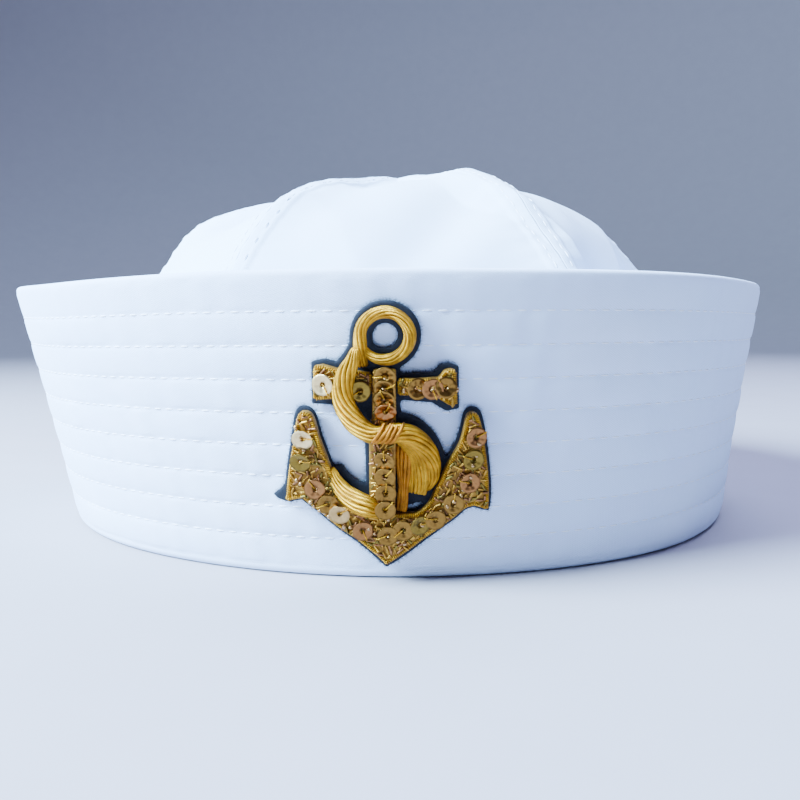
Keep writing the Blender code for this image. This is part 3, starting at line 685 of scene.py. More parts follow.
def crease_push(angle, rise, radius):
    """How far the pressed creases stand out from the cloth, or sink into it."""
    total = 0.0
    for crease in CREASES:
        middle = (crease.azimuth + crease.to_azimuth) / 2
        across = around_cap(angle, middle) * radius
        up = (rise - (crease.rise + crease.to_rise) / 2) * math.pi / 2 * CROWN_HEIGHT
        mean = 0.78 * HALF_WIDTH
        way = np.array(
            [
                math.radians(crease.to_azimuth - crease.azimuth) * mean,
                (crease.to_rise - crease.rise) * math.pi / 2 * CROWN_HEIGHT,
            ]
        )
        length = np.linalg.norm(way)
        way = way / length
        along = across * way[0] + up * way[1]
        beside = across * way[1] - up * way[0]
        beside = beside + 1.2 * MM * np.sin(along / (7 * MM) + crease.azimuth)
        roof = np.exp(-np.abs(beside) / (crease.width * MM)) - 0.35 * np.exp(
            -((beside / (2.6 * crease.width * MM)) ** 2)
        )
        fade = smooth_step(length / 2 - np.abs(along), -0.15 * length, 0.28 * length)
        total = total + crease.push * MM * roof * fade
    return total


print("and", len(CREASES), "pressed creases")

# %% [markdown]
# Beside a seam the thread has drawn the cloth in a little, so small wrinkles run out from it.
# They are waves along the seam, about 7 mm apart, that die away within a centimetre.

# %% Fell the seams and finish the crown's surface
FELL_WIDTH = 7.0 * MM
FELL_HEIGHT = 0.42 * MM
FELL_EDGE = 0.45 * MM
FELL_ROW = 1.3 * MM
FELL_GROOVE = 0.07 * MM


def seam_distance(angle, radius):
    """How far a place is from the nearest seam, along the cloth."""
    gore = 2 * math.pi / GORES
    return np.abs((angle / gore) % 1 - 0.5) * gore * radius


def seam_push(angle, rise, radius):
    """The seams' ridges, the panels' sag between them, the felled bands and their puckers."""
    gore = 2 * math.pi / GORES
    off = seam_distance(angle, radius)
    ridge = SEAM_RIDGE * np.exp(-((off / SEAM_RIDGE_WIDTH) ** 2))
    share = off / (gore / 2 * radius)
    sag = PANEL_SAG * radius * (1 - math.cos(gore / 2)) * (1 - (1 - share) ** 2)
    number = np.floor(angle / gore + 0.5)
    run = rise * math.pi / 2 * CROWN_HEIGHT
    phase = 1.7 * number + 2.0 * np.sin(run / (11 * MM) + number)
    pucker = np.sin(run * 2 * math.pi / (7.3 * MM) + phase)
    pucker *= 0.12 * MM * np.exp(-((off - FELL_WIDTH / 2) / (5 * MM)) ** 2)
    fade = smooth_step(radius, 2 * MM, 12 * MM)
    return ridge - sag, pucker * fade


def fell(angle, radius):
    """The raised, double-sewn band of a flat-felled seam."""
    off = seam_distance(angle, radius)
    step = smooth_step(off, FELL_WIDTH / 2 - FELL_EDGE, FELL_WIDTH / 2 + FELL_EDGE)
    band = FELL_HEIGHT * (0.45 - step)
    stitched = FELL_GROOVE * np.exp(-(((off - FELL_WIDTH / 2 + FELL_ROW) / (0.4 * MM)) ** 2))
    return (band - stitched) * smooth_step(radius, 0.5 * MM, 5 * MM)


def rumple(angle, rise, radius):
    """Slight unevenness of soft cloth, in waves of one to four centimetres."""
    run = rise * math.pi / 2 * CROWN_HEIGHT
    x, y = radius * np.sin(angle), radius * np.cos(angle)
    random = np.random.default_rng(5)
    total = 0.0
    for _ in range(16):
        way = random.uniform(0, 2 * math.pi)
        size = random.uniform(12, 38) * MM
        line = (x * math.cos(way) + y * math.sin(way) + run * random.uniform(-0.8, 0.8)) / size
        total = total + size / (38 * MM) * np.sin(2 * math.pi * line + random.uniform(0, 6.28))
    return 0.10 * MM * total


def crown_place(angle, rise, depth=0.0, detail=True):
    """Points of the crown's cloth, depth below its outer face."""
    radius, height, out = dome(rise)
    wide, long = HALF_WIDTH - CROWN_INSET, HALF_LENGTH - CROWN_INSET
    mean = radius * (wide + long) / 2
    loose = smooth_step(rise, 0.12, 0.42)
    shape, pucker = seam_push(angle, rise, mean)
    push = loose * (fold_push(angle, rise, mean) + shape) - depth
    if detail:
        gentle = loose * smooth_step(mean, 1 * MM, 14 * MM)
        push = push + gentle * (crease_push(angle, rise, mean) + rumple(angle, rise, mean))
        push = push + loose * pucker + smooth_step(rise, 0.02, 0.1) * fell(angle, mean)
    across = FOLD_SHIFT + (wide * radius + push * out[..., 0]) * np.sin(angle)
    along = -(long * radius + push * out[..., 0]) * np.cos(angle)
    lift = CROWN_FOOT + (CROWN_HEIGHT - CROWN_FOOT) * height + push * out[..., 1]
    return np.stack(np.broadcast_arrays(across, along, lift), axis=-1)


print("A felled seam is", round(FELL_WIDTH / MM), "mm wide")

# %% Cut and sew the six gores
GORE_COLUMNS = 97
GORE_ROWS = 113


def make_gore(number):
    """One gore: an outer and an inner face of cloth, joined round their edges."""
    gore = 2 * math.pi / GORES
    lanes = np.sin(np.linspace(-math.pi / 2, math.pi / 2, GORE_COLUMNS)) * 0.55
    lanes = lanes + np.linspace(-1, 1, GORE_COLUMNS) * 0.45
    rises = np.linspace(0.0, 0.9992, GORE_ROWS)
    rise, lane = np.meshgrid(rises, lanes, indexing="ij")
    angle = gore * number + lane * gore / 2
    outer = crown_place(angle, rise)
    inner = crown_place(angle, rise, CROWN_CLOTH)
    across = lane * gore / 2 * dome(rise)[0] * HALF_WIDTH
    uv = np.stack([across, rise * math.pi / 2 * CROWN_HEIGHT], axis=-1).reshape(-1, 2)
    count = GORE_ROWS * GORE_COLUMNS
    faces = grid_faces(GORE_ROWS, GORE_COLUMNS).tolist()
    faces += grid_faces(GORE_ROWS, GORE_COLUMNS, start=count)[:, ::-1].tolist()
    top = (GORE_ROWS - 1) * GORE_COLUMNS
    border = list(range(GORE_COLUMNS))
    border += [row * GORE_COLUMNS + GORE_COLUMNS - 1 for row in range(1, GORE_ROWS)]
    border += [top + column for column in range(GORE_COLUMNS - 2, -1, -1)]
    border += [row * GORE_COLUMNS for row in range(GORE_ROWS - 2, 0, -1)]
    for here, after in zip(border, border[1:] + border[:1]):
        faces.append((after, here, here + count, after + count))
    points = np.vstack([outer.reshape(-1, 3), inner.reshape(-1, 3)])
    return mesh_from_arrays(f"crown_panel_{number + 1}", points, faces, np.vstack([uv, uv]))


for number in range(GORES):
    panel = add_object(
        f"crown_panel_{number + 1}", make_gore(number), crown_cotton
    )
    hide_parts(f"crown_gore_{number + 1}")
print("Each gore has", len(panel.data.polygons), "faces")

# %% [markdown]
# The felled seams carry two rows of stitches each, 1.3 mm in from the band's edges. They are
# smaller and finer than the quilting's.

# %% Sew the felled seams
SEAM_PITCH = 2.8 * MM
SEAM_STITCH = 2.2 * MM
SEAM_THREAD = 0.26 * MM


def crown_stitches():
    """Two rows of stitches on each of the crown's seams."""
    rises = np.linspace(0.03, 0.97, 400)
    found = []
    for seam in range(GORES):
        for side in (-1, 1):
            mean = dome(rises)[0] * (HALF_WIDTH + HALF_LENGTH) / 2
            angle = (seam + 0.5) * 2 * math.pi / GORES
            angle = angle + side * (FELL_WIDTH / 2 - FELL_ROW) / mean
            line = crown_place(angle, rises, -0.05 * MM)
            walked = walked_along(line)
            at = np.arange(0.5, int(walked[-1] / SEAM_PITCH)) * SEAM_PITCH
            spots = np.interp(at, walked, rises)
            turn = np.interp(at, walked, angle)
            centres = crown_place(turn, spots, -0.05 * MM)
            ahead = crown_place(np.interp(at + 0.4 * MM, walked, angle),
                                np.interp(at + 0.4 * MM, walked, rises), -0.05 * MM)
            above = crown_place(turn, spots, -1 * MM)
            found.append((centres, ahead - centres, above - centres))
    centres, along, out = (np.vstack(parts) for parts in zip(*found))
    return copies(
        "crown_stitches", spindle(5, 5), centres, along, out,
        SEAM_STITCH, SEAM_THREAD / 2, sink=0.05 * MM,
    )


seam_thread = add_object(
    "crown_stitches", crown_stitches(), sewing_thread
)
print("The crown's stitches have", len(seam_thread.data.polygons), "faces")

# %% [markdown]
# ## The badge
#
# The badge is worked flat and then sewn on, so its pieces are drawn on a flat plan, as shares
# of the anchor's width and height, and one function bends that plan onto the front of the
# brim. lift is how far a point stands off the wall.

# %% Bend the flat badge onto the brim
ANCHOR_HEIGHT = 48.6 * MM
ANCHOR_WIDTH = 38 * MM
BADGE_FOOT = 4 * MM
BADGE_TILT = math.radians(-0.6)
WALL_LENGTH = math.hypot(BRIM_HEIGHT - FOLD_RADIUS, FRONT_FLARE)
FELT_TOP = 1.8 * MM
GOLD_LOW = 2.1 * MM
GOLD_TOP = 3.6 * MM
RING_RADIUS = 4.3 * MM
RING_WIRE = 1.15 * MM
RING_HEIGHT = 0.894 * ANCHOR_HEIGHT


def plain_wall(angle, height):
    """The brim's wall under the badge, without waves or quilting."""
    share = (height - FOLD_RADIUS) / (BRIM_HEIGHT - FOLD_RADIUS)
    flare = (SIDE_FLARE * np.sin(angle) ** 2 + FRONT_FLARE * np.cos(angle) ** 2) * share
    return oval(angle, flare, height, FOLD_SHIFT * (1 - share))


def on_wall(flat):
    """Places of the badge on the brim, from flat (across, up, lift) points."""
    flat = np.asarray(flat, dtype=float)
    across, up, lift = flat[..., 0], flat[..., 1] - ANCHOR_HEIGHT / 2, flat[..., 2]
    turned = across * math.cos(BADGE_TILT) - up * math.sin(BADGE_TILT)
    raised = across * math.sin(BADGE_TILT) + up * math.cos(BADGE_TILT)
    share = (BADGE_FOOT + ANCHOR_HEIGHT / 2 + raised) / WALL_LENGTH
    height = FOLD_RADIUS + (BRIM_HEIGHT - FOLD_RADIUS) * share
    angle = (turned - FOLD_SHIFT * (1 - share)) / (HALF_WIDTH + FRONT_FLARE * share)
    foot = plain_wall(angle, height)
    side = plain_wall(angle + 0.01, height) - foot
    rise = plain_wall(angle, height + 1 * MM) - foot
    out = np.cross(side, rise)
    out /= np.linalg.norm(out, axis=-1, keepdims=True)
    return foot + out * lift[..., None]


def shared(across, up):
    """A flat badge point from shares of half the anchor's width and of its height."""
    return np.array([across * ANCHOR_WIDTH / 2, up * ANCHOR_HEIGHT])


print("The badge is", round(ANCHOR_HEIGHT / MM, 1), "mm tall")

# %% [markdown]
# ### Its drawn shapes
#
# The plan is a few tables, in shares of half the anchor's width and of its height: the outline of
# the arms and flukes, of the two halves of the cross bar and of the shank, and the middle lines
# of the ropes. The felt, the pads, the edging and the chips all take their shape from them.
#
# The ring is one rope, once round and then straight down on the left. From there it bulges to
# the left over the cross bar, crosses the shank and fans out on the right into a wide crescent.
# Each row of a rope is one point of its middle line, how far it has climbed over the gold under
# it, as a share of CLIMB, and its half width in millimetres.

# %% Draw smooth lines and outlines
def smooth_path(points, steps):
    """A smooth curve through the points, with steps to each stretch."""
    points = np.asarray(points, dtype=float)
    padded = np.vstack([2 * points[0] - points[1], points, 2 * points[-1] - points[-2]])
    found = []
    for i in range(1, len(padded) - 2):
        a, b, c, d = padded[i - 1 : i + 3]
        for step in range(steps):
            t = step / steps
            found.append(
                0.5 * (2 * b + (c - a) * t + (2 * a - 5 * b + 4 * c - d) * t * t
                       + (3 * b - a - 3 * c + d) * t**3)
            )
    return np.array(found + [points[-1]])


def even_path(points, pitch):
    """The same line with points an even pitch apart."""
    walked = walked_along(points[:, :2])
    at = np.linspace(0, walked[-1], max(3, int(walked[-1] / pitch) + 1))
    return np.stack([np.interp(at, walked, points[:, k]) for k in range(points.shape[1])], axis=1)


def inset(outline, distance):
    """The outline moved inwards, or outwards by a negative distance. It runs anticlockwise."""
    before = outline - np.roll(outline, 1, axis=0)
    after = np.roll(outline, -1, axis=0) - outline
    before /= np.linalg.norm(before, axis=1, keepdims=True)
    after /= np.linalg.norm(after, axis=1, keepdims=True)
    way = before + after
    way /= np.linalg.norm(way, axis=1, keepdims=True)
    return outline + np.stack([-way[:, 1], way[:, 0]], axis=1) * distance


Point = namedtuple("Point", "across up corner")
ARMS_OUTLINE = (
    Point(0.023, -0.024, True),
    Point(0.200, 0.028, False),
    Point(0.392, 0.091, False),
    Point(0.535, 0.135, False),
    Point(0.679, 0.180, False),
    Point(0.775, 0.214, False),
    Point(0.865, 0.225, True),
    Point(1.000, 0.206, True),
    Point(1.006, 0.262, False),
    Point(0.995, 0.338, False),
    Point(0.970, 0.421, False),
    Point(0.940, 0.492, False),
    Point(0.906, 0.556, False),
    Point(0.868, 0.596, False),
    Point(0.812, 0.603, False),
    Point(0.765, 0.586, False),
    Point(0.735, 0.522, False),
    Point(0.697, 0.472, False),
    Point(0.632, 0.424, False),
    Point(0.574, 0.380, False),
    Point(0.522, 0.325, False),
    Point(0.470, 0.280, False),
    Point(0.425, 0.238, False),
    Point(0.316, 0.199, False),
    Point(0.101, 0.193, False),
    Point(-0.115, 0.203, False),
    Point(-0.234, 0.223, False),
    Point(-0.354, 0.259, False),
    Point(-0.425, 0.295, False),
    Point(-0.477, 0.335, False),
    Point(-0.523, 0.391, False),
    Point(-0.571, 0.447, False),
    Point(-0.614, 0.496, False),
    Point(-0.645, 0.545, False),
    Point(-0.680, 0.588, False),
    Point(-0.745, 0.604, False),
    Point(-0.812, 0.592, False),
    Point(-0.850, 0.520, False),
    Point(-0.876, 0.459, False),
    Point(-0.910, 0.387, False),
    Point(-0.936, 0.313, False),
    Point(-0.956, 0.238, True),
    Point(-0.795, 0.252, True),
    Point(-0.722, 0.228, False),
    Point(-0.576, 0.182, False),
    Point(-0.431, 0.131, False),
    Point(-0.285, 0.090, False),
    Point(-0.188, 0.058, False),
    Point(-0.067, 0.014, False),
)
STOCK_LEFT = ((-0.123, 0.676), (-0.123, 0.756), (-0.431, 0.770), (-0.573, 0.786),
              (-0.648, 0.782), (-0.656, 0.652), (-0.501, 0.656), (-0.296, 0.668))
STOCK_RIGHT = ((0.123, 0.673), (0.277, 0.672), (0.475, 0.665), (0.607, 0.631), (0.668, 0.633),
               (0.654, 0.767), (0.607, 0.772), (0.554, 0.768), (0.494, 0.738), (0.276, 0.733),
               (0.123, 0.735))
SHANK = ((-0.143, 0.150), (0.104, 0.150), (0.106, 0.460), (0.104, 0.770), (-0.112, 0.770),
         (-0.122, 0.556), (-0.147, 0.480))

Turn = namedtuple("Turn", "across up over half_width")
ROPE_PATH = (
    Turn(-0.262, 0.850, 0.50, 0.80),
    Turn(-0.290, 0.808, 0.80, 1.30),
    Turn(-0.338, 0.764, 1.00, 1.75),
    Turn(-0.372, 0.716, 1.00, 1.85),
    Turn(-0.372, 0.666, 0.95, 1.90),
    Turn(-0.328, 0.616, 0.95, 2.00),
    Turn(-0.240, 0.566, 0.95, 2.00),
    Turn(-0.120, 0.532, 1.05, 1.80),
    Turn(0.005, 0.530, 1.10, 1.75),
    Turn(0.129, 0.536, 0.95, 1.95),
    Turn(0.254, 0.519, 0.60, 1.95),
    Turn(0.366, 0.476, 0.25, 1.85),
    Turn(0.434, 0.425, 0.10, 1.75),
    Turn(0.455, 0.371, 0.00, 1.60),
    Turn(0.431, 0.325, 0.00, 1.35),
    Turn(0.377, 0.290, 0.00, 0.95),
)
TAIL_PATH = (
    Turn(0.029, 0.190, 0.25, 1.10),
    Turn(-0.066, 0.205, 0.25, 1.60),
    Turn(-0.162, 0.226, 0.30, 2.15),
    Turn(-0.269, 0.249, 0.30, 2.20),
    Turn(-0.381, 0.283, 0.30, 1.75),
    Turn(-0.462, 0.330, 0.30, 1.20),
    Turn(-0.508, 0.378, 0.30, 0.60),
)
FLATTEN = 0.62
CLIMB = 1.8 * MM


def arms_outline():
    """The smooth outline of the arms and flukes on the flat badge."""
    places = [shared(p.across, p.up) for p in ARMS_OUTLINE]
    places.append(places[0])
    corners = [i for i, p in enumerate(ARMS_OUTLINE) if p.corner] + [len(ARMS_OUTLINE)]
    found = []
    for first, last in zip(corners[:-1], corners[1:]):
        found += list(smooth_path(places[first : last + 1], 3)[:-1])
    return np.array(found)


def rope_line(turns):
    """A rope's smooth middle line: across, up, lift and half width."""
    rows = []
    for turn in turns:
        across, up = shared(turn.across, turn.up)
        half = turn.half_width * MM
        rows.append((across, up, GOLD_LOW + turn.over * CLIMB + half * FLATTEN, half))
    return smooth_path(rows, 8)


def ring_line():
    """The ring's rope: once round from under the tail, then straight down on the left."""
    lift = GOLD_LOW + RING_WIRE * FLATTEN
    rows = []
    for degrees in range(-150, 181, 15):
        turn = math.radians(degrees)
        half = RING_WIRE * (0.62 + 0.38 * min(1.0, (degrees + 150) / 70))
        rows.append((RING_RADIUS * math.cos(turn), RING_HEIGHT + RING_RADIUS * math.sin(turn),
                     lift + 0.2 * MM * (degrees > 100), half))
    for share in (0.25, 0.5, 0.75, 1.0):
        across = -RING_RADIUS + 0.25 * MM * share**2
        up = RING_HEIGHT + (0.775 * ANCHOR_HEIGHT - RING_HEIGHT) * share
        rows.append((across, up, lift + 0.3 * MM - 1.0 * MM * share**3, RING_WIRE * 1.05))
    return smooth_path(rows, 4)


stocks = [np.array([shared(*place) for place in stock]) for stock in (STOCK_LEFT, STOCK_RIGHT)]
shank = np.array([shared(*place) for place in SHANK])
edged = [arms_outline()] + stocks
outlines = edged + [shank]
ropes = [ring_line(), rope_line(ROPE_PATH), rope_line(TAIL_PATH)]
print("Outlines have", [len(outline) for outline in outlines], "points")

# %% [markdown]
# ### Soft shapes, made flat and bent on
#
# The felt and the pads under the gold are soft, with no sharp edges. Each is put together flat,
# from slabs with a drawn outline and bands along a line. A fine remesh melts these into one
# skin, smoothing rounds its edges, and only then is it bent onto the brim. While it is flat it
# is also easy to measure how much cloth it takes.

# %% Melt slabs and bands into soft shapes
def slab(outline, low, high):
    """A flat slab with this outline, as points and faces."""
    count = len(outline)
    points = [(x, y, lift) for lift in (low, high) for x, y in outline]
    faces = [list(range(count))[::-1], list(range(count, 2 * count))]
    for here in range(count):
        after = (here + 1) % count
        faces.append([here, after, count + after, count + here])
    return points, faces


def band(line, half, low, high):
    """A flat band along a line, as points and faces."""
    way = np.gradient(line[:, :2], axis=0)
    way /= np.linalg.norm(way, axis=1, keepdims=True)
    beside = np.stack([way[:, 1], -way[:, 0]], axis=1) * np.reshape(half, (-1, 1))
    points = []
    for place, off in zip(line[:, :2], beside):
        for edge_place, lift in ((place - off, low), (place - off, high),
                                 (place + off, high), (place + off, low)):
            points.append((*edge_place, lift))
    last = 4 * (len(line) - 1)
    faces = grid_faces(len(line), 4, close_columns=True).tolist()
    return points, faces + [[3, 2, 1, 0], [last, last + 1, last + 2, last + 3]]


def soft_shape(name, solids, voxel, smoothing):
    """Solids melted into one smooth skin and bent onto the brim, and its flat area."""
    points, faces = [], []
    for more_points, more_faces in solids:
        faces += [[corner + len(points) for corner in face] for face in more_faces]
        points += more_points
    raw = bpy.data.meshes.new(name + "_raw")
    raw.from_pydata(points, [], faces)
    piece = bpy.data.objects.new(name + "_raw", raw)
    bpy.context.scene.collection.objects.link(piece)
    remesh = piece.modifiers.new("melt", "REMESH")
    remesh.mode, remesh.voxel_size = "VOXEL", voxel
    smooth = piece.modifiers.new("soften", "SMOOTH")
    smooth.factor, smooth.iterations = 0.5, smoothing
    graph = bpy.context.evaluated_depsgraph_get()
    mesh = bpy.data.meshes.new_from_object(piece.evaluated_get(graph))
    bpy.data.objects.remove(piece)
    area = sum(face.area for face in mesh.polygons if face.normal.z > 0.7)
    flat = np.array([vertex.co[:] for vertex in mesh.vertices])
    mesh.vertices.foreach_set("co", on_wall(flat).ravel())
    mesh.name = name
    mesh.update()
    mesh.shade_smooth()
    return mesh, area


print("Slabs and bands are ready")

# %% [markdown]
# ### The felt
#
# Felt is wool matted into a sheet, so it has no weave and no sharp edge: its cut edge is
# rounded and loose fibres stand out of it. It shows as a margin round all the gold, narrow
# inside the arms and widest round the cross bar. It was sewn on slightly low, so more of it
# shows below the gold than above. At the left fluke the cut left a small point. One patch of
# felt closes the narrow slit below the rope's crescent. This patch is painted shade: a dark sheet
# where the brim would be seen in shade through the slit. The brim shows through the felt's other
# openings, inside the ring and beside the rope. After the shape is made, a few thousand short
# fibres are scattered on its edge.

# %% Mat the felt
FELT_MARGIN = 0.95 * MM
ARMS_MARGIN = 0.62 * MM
STOCK_MARGIN = 1.25 * MM
ARMS_SPREAD = 1.03
FELT_LOW = 0.8 * MM
FELT_SLIP = np.array([0.05, -0.18]) * MM
LOW_SLIP = np.array([-0.08, -0.46]) * MM
FELT_POINT = ((-0.930, 0.212), (-0.900, 0.330), (-0.990, 0.300), (-1.060, 0.268),
              (-1.135, 0.246), (-1.080, 0.226))
# A patch of felt over the slit below the rope's crescent. It is painted shade: a dark sheet where
# the brim shows in shade.
FELT_SHADE_PATCH = ((0.120, 0.200), (0.430, 0.235), (0.430, 0.330), (0.120, 0.310))
felt_wool, shader = new_material("navy_wool_felt", Roughness=0.97, IOR=1.54)
shader.inputs["Sheen Weight"].default_value = 0.10
shader.inputs["Sheen Roughness"].default_value = 0.6
shader.inputs["Sheen Tint"].default_value = hex_colour("#6A708C")
where = node(felt_wool, "ShaderNodeTexCoord")
mat_fibres = node(
    felt_wool, "ShaderNodeTexNoise",
    inputs={"Scale": 1 / (0.45 * MM), "Detail": 5.0, "Roughness": 0.7, "Distortion": 0.8},
    links=[("Vector", where, "Object")],
)
tones = node(
    felt_wool, "ShaderNodeMix", {"data_type": "RGBA"},
    {"A": hex_colour("#07080F"), "B": hex_colour("#151827")}, [("Factor", mat_fibres, "Fac")],
)
nap = node(
    felt_wool, "ShaderNodeBump", inputs={"Strength": 1.0, "Distance": 0.18 * MM},
    links=[("Height", mat_fibres, "Fac")],
)
connect(felt_wool, tones, "Result", shader, "Base Color")
connect(felt_wool, nap, "Normal", shader, "Normal")


def felt_solids():
    """The felt under every gold shape, each grown by its own margin and slipped a little."""
    middle = shared(0, 0.33)
    arms = middle + (outlines[0] - middle) * ARMS_SPREAD
    shapes = [inset(arms, -ARMS_MARGIN)] + [inset(stock, -STOCK_MARGIN) for stock in stocks]
    shapes = [shape + LOW_SLIP for shape in shapes]
    shapes.append(inset(shank, -FELT_MARGIN) + FELT_SLIP)
    found = [slab(shape, FELT_LOW, FELT_TOP) for shape in shapes]
    for patch in (FELT_POINT, FELT_SHADE_PATCH):
        places = np.array([shared(*place) for place in patch])
        found.append(slab(places, FELT_LOW, FELT_TOP))
    for line in ropes:
        line = even_path(line, 0.6 * MM)
        half = line[:, 3] + FELT_MARGIN
        found.append(band(line[:, :2] + FELT_SLIP, half, FELT_LOW, FELT_TOP))
    return found


felt_mesh, felt_area = soft_shape("badge_felt_cloth", felt_solids(), 0.26 * MM, 5)
felt = add_object("badge_felt_cloth", felt_mesh, felt_wool)
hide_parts("badge_felt")
print("The felt has", len(felt.data.polygons), "faces and", round(felt_area * 1e6), "mm2 of cloth")

# %% Let loose fibres stand out of its edge
def loose_fibres(mesh, count, length):
    """Short, thin, bent slips on the parts of a mesh that face sideways on the brim."""
    random = np.random.default_rng(21)
    total = len(mesh.polygons)
    centres = np.empty(total * 3); mesh.polygons.foreach_get("center", centres)
    normals = np.empty(total * 3); mesh.polygons.foreach_get("normal", normals)
    centres, normals = centres.reshape(-1, 3), normals.reshape(-1, 3)
    sideways = np.flatnonzero(np.abs(normals[:, 1]) < 0.75)
    picked = random.choice(sideways, count)
    root, out = centres[picked], normals[picked]
    lean = random.normal(0, 0.55, (count, 3))
    way = out + lean
    way /= np.linalg.norm(way, axis=1, keepdims=True)
    side = np.cross(way, random.normal(0, 1, (count, 3)))
    side /= np.linalg.norm(side, axis=1, keepdims=True)
    bend = random.normal(0, 0.4, (count, 3))
    size = length * random.uniform(0.4, 1.0, (count, 1))
    width = 0.018 * MM
    middle = root + way * size * 0.5
    tip = root + (way + bend * 0.6) * size
    points = np.stack(
        [root - side * width, root + side * width, middle + side * width,
         middle - side * width, tip], axis=1
    ).reshape(-1, 3)
    start = np.arange(count)[:, None] * 5
    quads = (start + np.array([[0, 1, 2, 3]])).tolist()
    tips = (start + np.array([[3, 2, 4]])).tolist()
    made = bpy.data.meshes.new("badge_felt_fibres")
    made.from_pydata(points.tolist(), [], quads + tips)
    made.update()
    return made


fibres = add_object(
    "badge_felt_fibres", loose_fibres(felt.data, 5200, 0.85 * MM), felt_wool
)
print("The felt's edge has", len(fibres.data.polygons) // 2, "loose fibres")

# %% [markdown]
# ### Gilt thread, purl and foil
#
# Gilt thread is a strip of metal wound in a spiral on a silk core: a warm metal whose fine
# windings break its shine into a soft glow. Purl is the same metal as a thin wire wound into a
# tight coil, which sparkles more. A metal keeps its default IOR.
#
# The windings are a little over 0.2 mm apart, as on real thread. They follow the flat place
# that each tube of thread keeps, so they slant round the thread as they do on the real one.

# %% Gild the thread
WINDING = 0.225 * MM


def gilt(name, bright, dull, roughness, winding_depth=0.0, metallic=0.85):
    """Gilt thread or wire: two tones of gold, and windings round the thread."""
    metal, shader = new_material(name, Metallic=metallic, Roughness=roughness)
    where = node(metal, "ShaderNodeTexCoord")
    wear = node(
        metal, "ShaderNodeTexNoise",
        inputs={"Scale": 1 / (2.2 * MM), "Detail": 5.0, "Roughness": 0.7},
        links=[("Vector", where, "Object")],
    )
    spread = node(
        metal, "ShaderNodeMapRange", inputs={"From Min": 0.36, "From Max": 0.64},
        links=[("Value", wear, "Fac")],
    )
    tone = node(
        metal, "ShaderNodeMix", {"data_type": "RGBA"},
        {"A": hex_colour(bright), "B": hex_colour(dull)}, [("Factor", spread, "Result")],
    )
    connect(metal, tone, "Result", shader, "Base Color")
    if winding_depth:
        place = node(metal, "ShaderNodeUVMap", {"uv_map": "cloth"})
        slant = node(
            metal, "ShaderNodeMapping", inputs={"Rotation": (0, 0, math.radians(24))},
            links=[("Vector", place, "UV")],
        )
        turns = node(
            metal, "ShaderNodeTexWave", {"wave_type": "BANDS", "bands_direction": "Y"},
            {"Scale": math.pi / (10 * WINDING), "Distortion": 0.4},
            [("Vector", slant, "Vector")],
        )
    else:
        turns = node(
            metal, "ShaderNodeTexNoise", inputs={"Scale": 1 / (0.3 * MM), "Detail": 2.0},
            links=[("Vector", where, "Object")],
        )
    bump = node(
        metal, "ShaderNodeBump", inputs={"Strength": 1.0, "Distance": winding_depth or 0.03 * MM},
        links=[("Height", turns, "Fac")],
    )
    connect(metal, bump, "Normal", shader, "Normal")
    return metal


gilt_thread = gilt("gilt_silk_thread", "#E6A620", "#A87014", 0.42, 0.06 * MM, 0.86)
orange_thread = gilt("copper_gilt_thread", "#D08420", "#9A5810", 0.44, 0.06 * MM, 0.8)
gilt_purl = gilt("gilt_purl_wire", "#CE983A", "#8E6020", 0.34)
copper_purl = gilt("copper_purl_wire", "#A87044", "#704828", 0.36)
bronze_purl = gilt("bronze_purl_wire", "#8C7430", "#584218", 0.36)
gilt_pad = gilt("gilt_thread_padding", "#A87826", "#744C14", 0.55, metallic=0.7)
print("A winding is drawn every", round(WINDING / MM, 3), "mm")

# %% [markdown]
# Sequins are stamped from polyester foil with a gilt coat. Wear has left it satin. There are
# five foils, and their colours hold painted light as well as tone. The bright and the pale one
# are painted glints: light, warm colours for the sequins that catch the light. The bronze,
# olive and rose ones are partly the foil's own tarnished tone and partly painted shade: dark
# colours for sequins that reflect dark surroundings. Seed beads are glass, with an IOR of 1.5,
# lined with gilt.

# %% Foil the sequins
def foil(name, colour, roughness):
    """Gilt polyester foil with slightly uneven tarnish."""
    made, shader = new_material(name, Metallic=1.0, Roughness=roughness)
    where = node(made, "ShaderNodeTexCoord")
    tarnish = node(
        made, "ShaderNodeTexNoise", inputs={"Scale": 1 / (1.1 * MM), "Detail": 4.0},
        links=[("Vector", where, "Object")],
    )
    dull = tuple(0.62 * part for part in hex_colour(colour)[:3]) + (1.0,)
    tone = node(
        made, "ShaderNodeMix", {"data_type": "RGBA"}, {"A": hex_colour(colour), "B": dull},
        [("Factor", tarnish, "Fac")],
    )
    connect(made, tone, "Result", shader, "Base Color")
    return made


# The bright and pale foils are painted glints. The bronze, olive and rose foils are their own tone
# with painted shade.
FOILS = {
    "bright": foil("bright_glint_painted_foil", "#FBD493", 0.38),
    "pale": foil("pale_glint_painted_foil", "#C89C62", 0.34),
    "bronze": foil("bronze_tone_painted_shade_foil", "#8E642C", 0.34),
    "olive": foil("olive_tone_painted_shade_foil", "#84662A", 0.34),
    "rose": foil("rose_tone_painted_shade_foil", "#9C6638", 0.30),
}
bead_glass, shader = new_material("gilt_lined_glass", Metallic=0.55, Roughness=0.12, IOR=1.5)
shader.inputs["Coat Weight"].default_value = 0.6
where = node(bead_glass, "ShaderNodeTexCoord")
hue = node(
    bead_glass, "ShaderNodeTexNoise", inputs={"Scale": 1 / (3.5 * MM)},
    links=[("Vector", where, "Object")],
)
tint = node(
    bead_glass, "ShaderNodeMix", {"data_type": "RGBA"},
    {"A": hex_colour("#94642E"), "B": hex_colour("#C4945A")}, [("Factor", hue, "Fac")],
)
connect(bead_glass, tint, "Result", shader, "Base Color")
print("Foils:", ", ".join(FOILS))

# %% [markdown]
# ### Threads laid along a line
#
# The rope and the ring are bundles of gilt threads laid side by side over a padded core and
# twisted slightly. Each thread is a thin tube along its own path: the rope's middle line, moved
# round an oval section that turns slowly along the rope. A thread is as thick as the rope is
# wide there, within limits, so the grooves between threads stay open where the rope fans out.

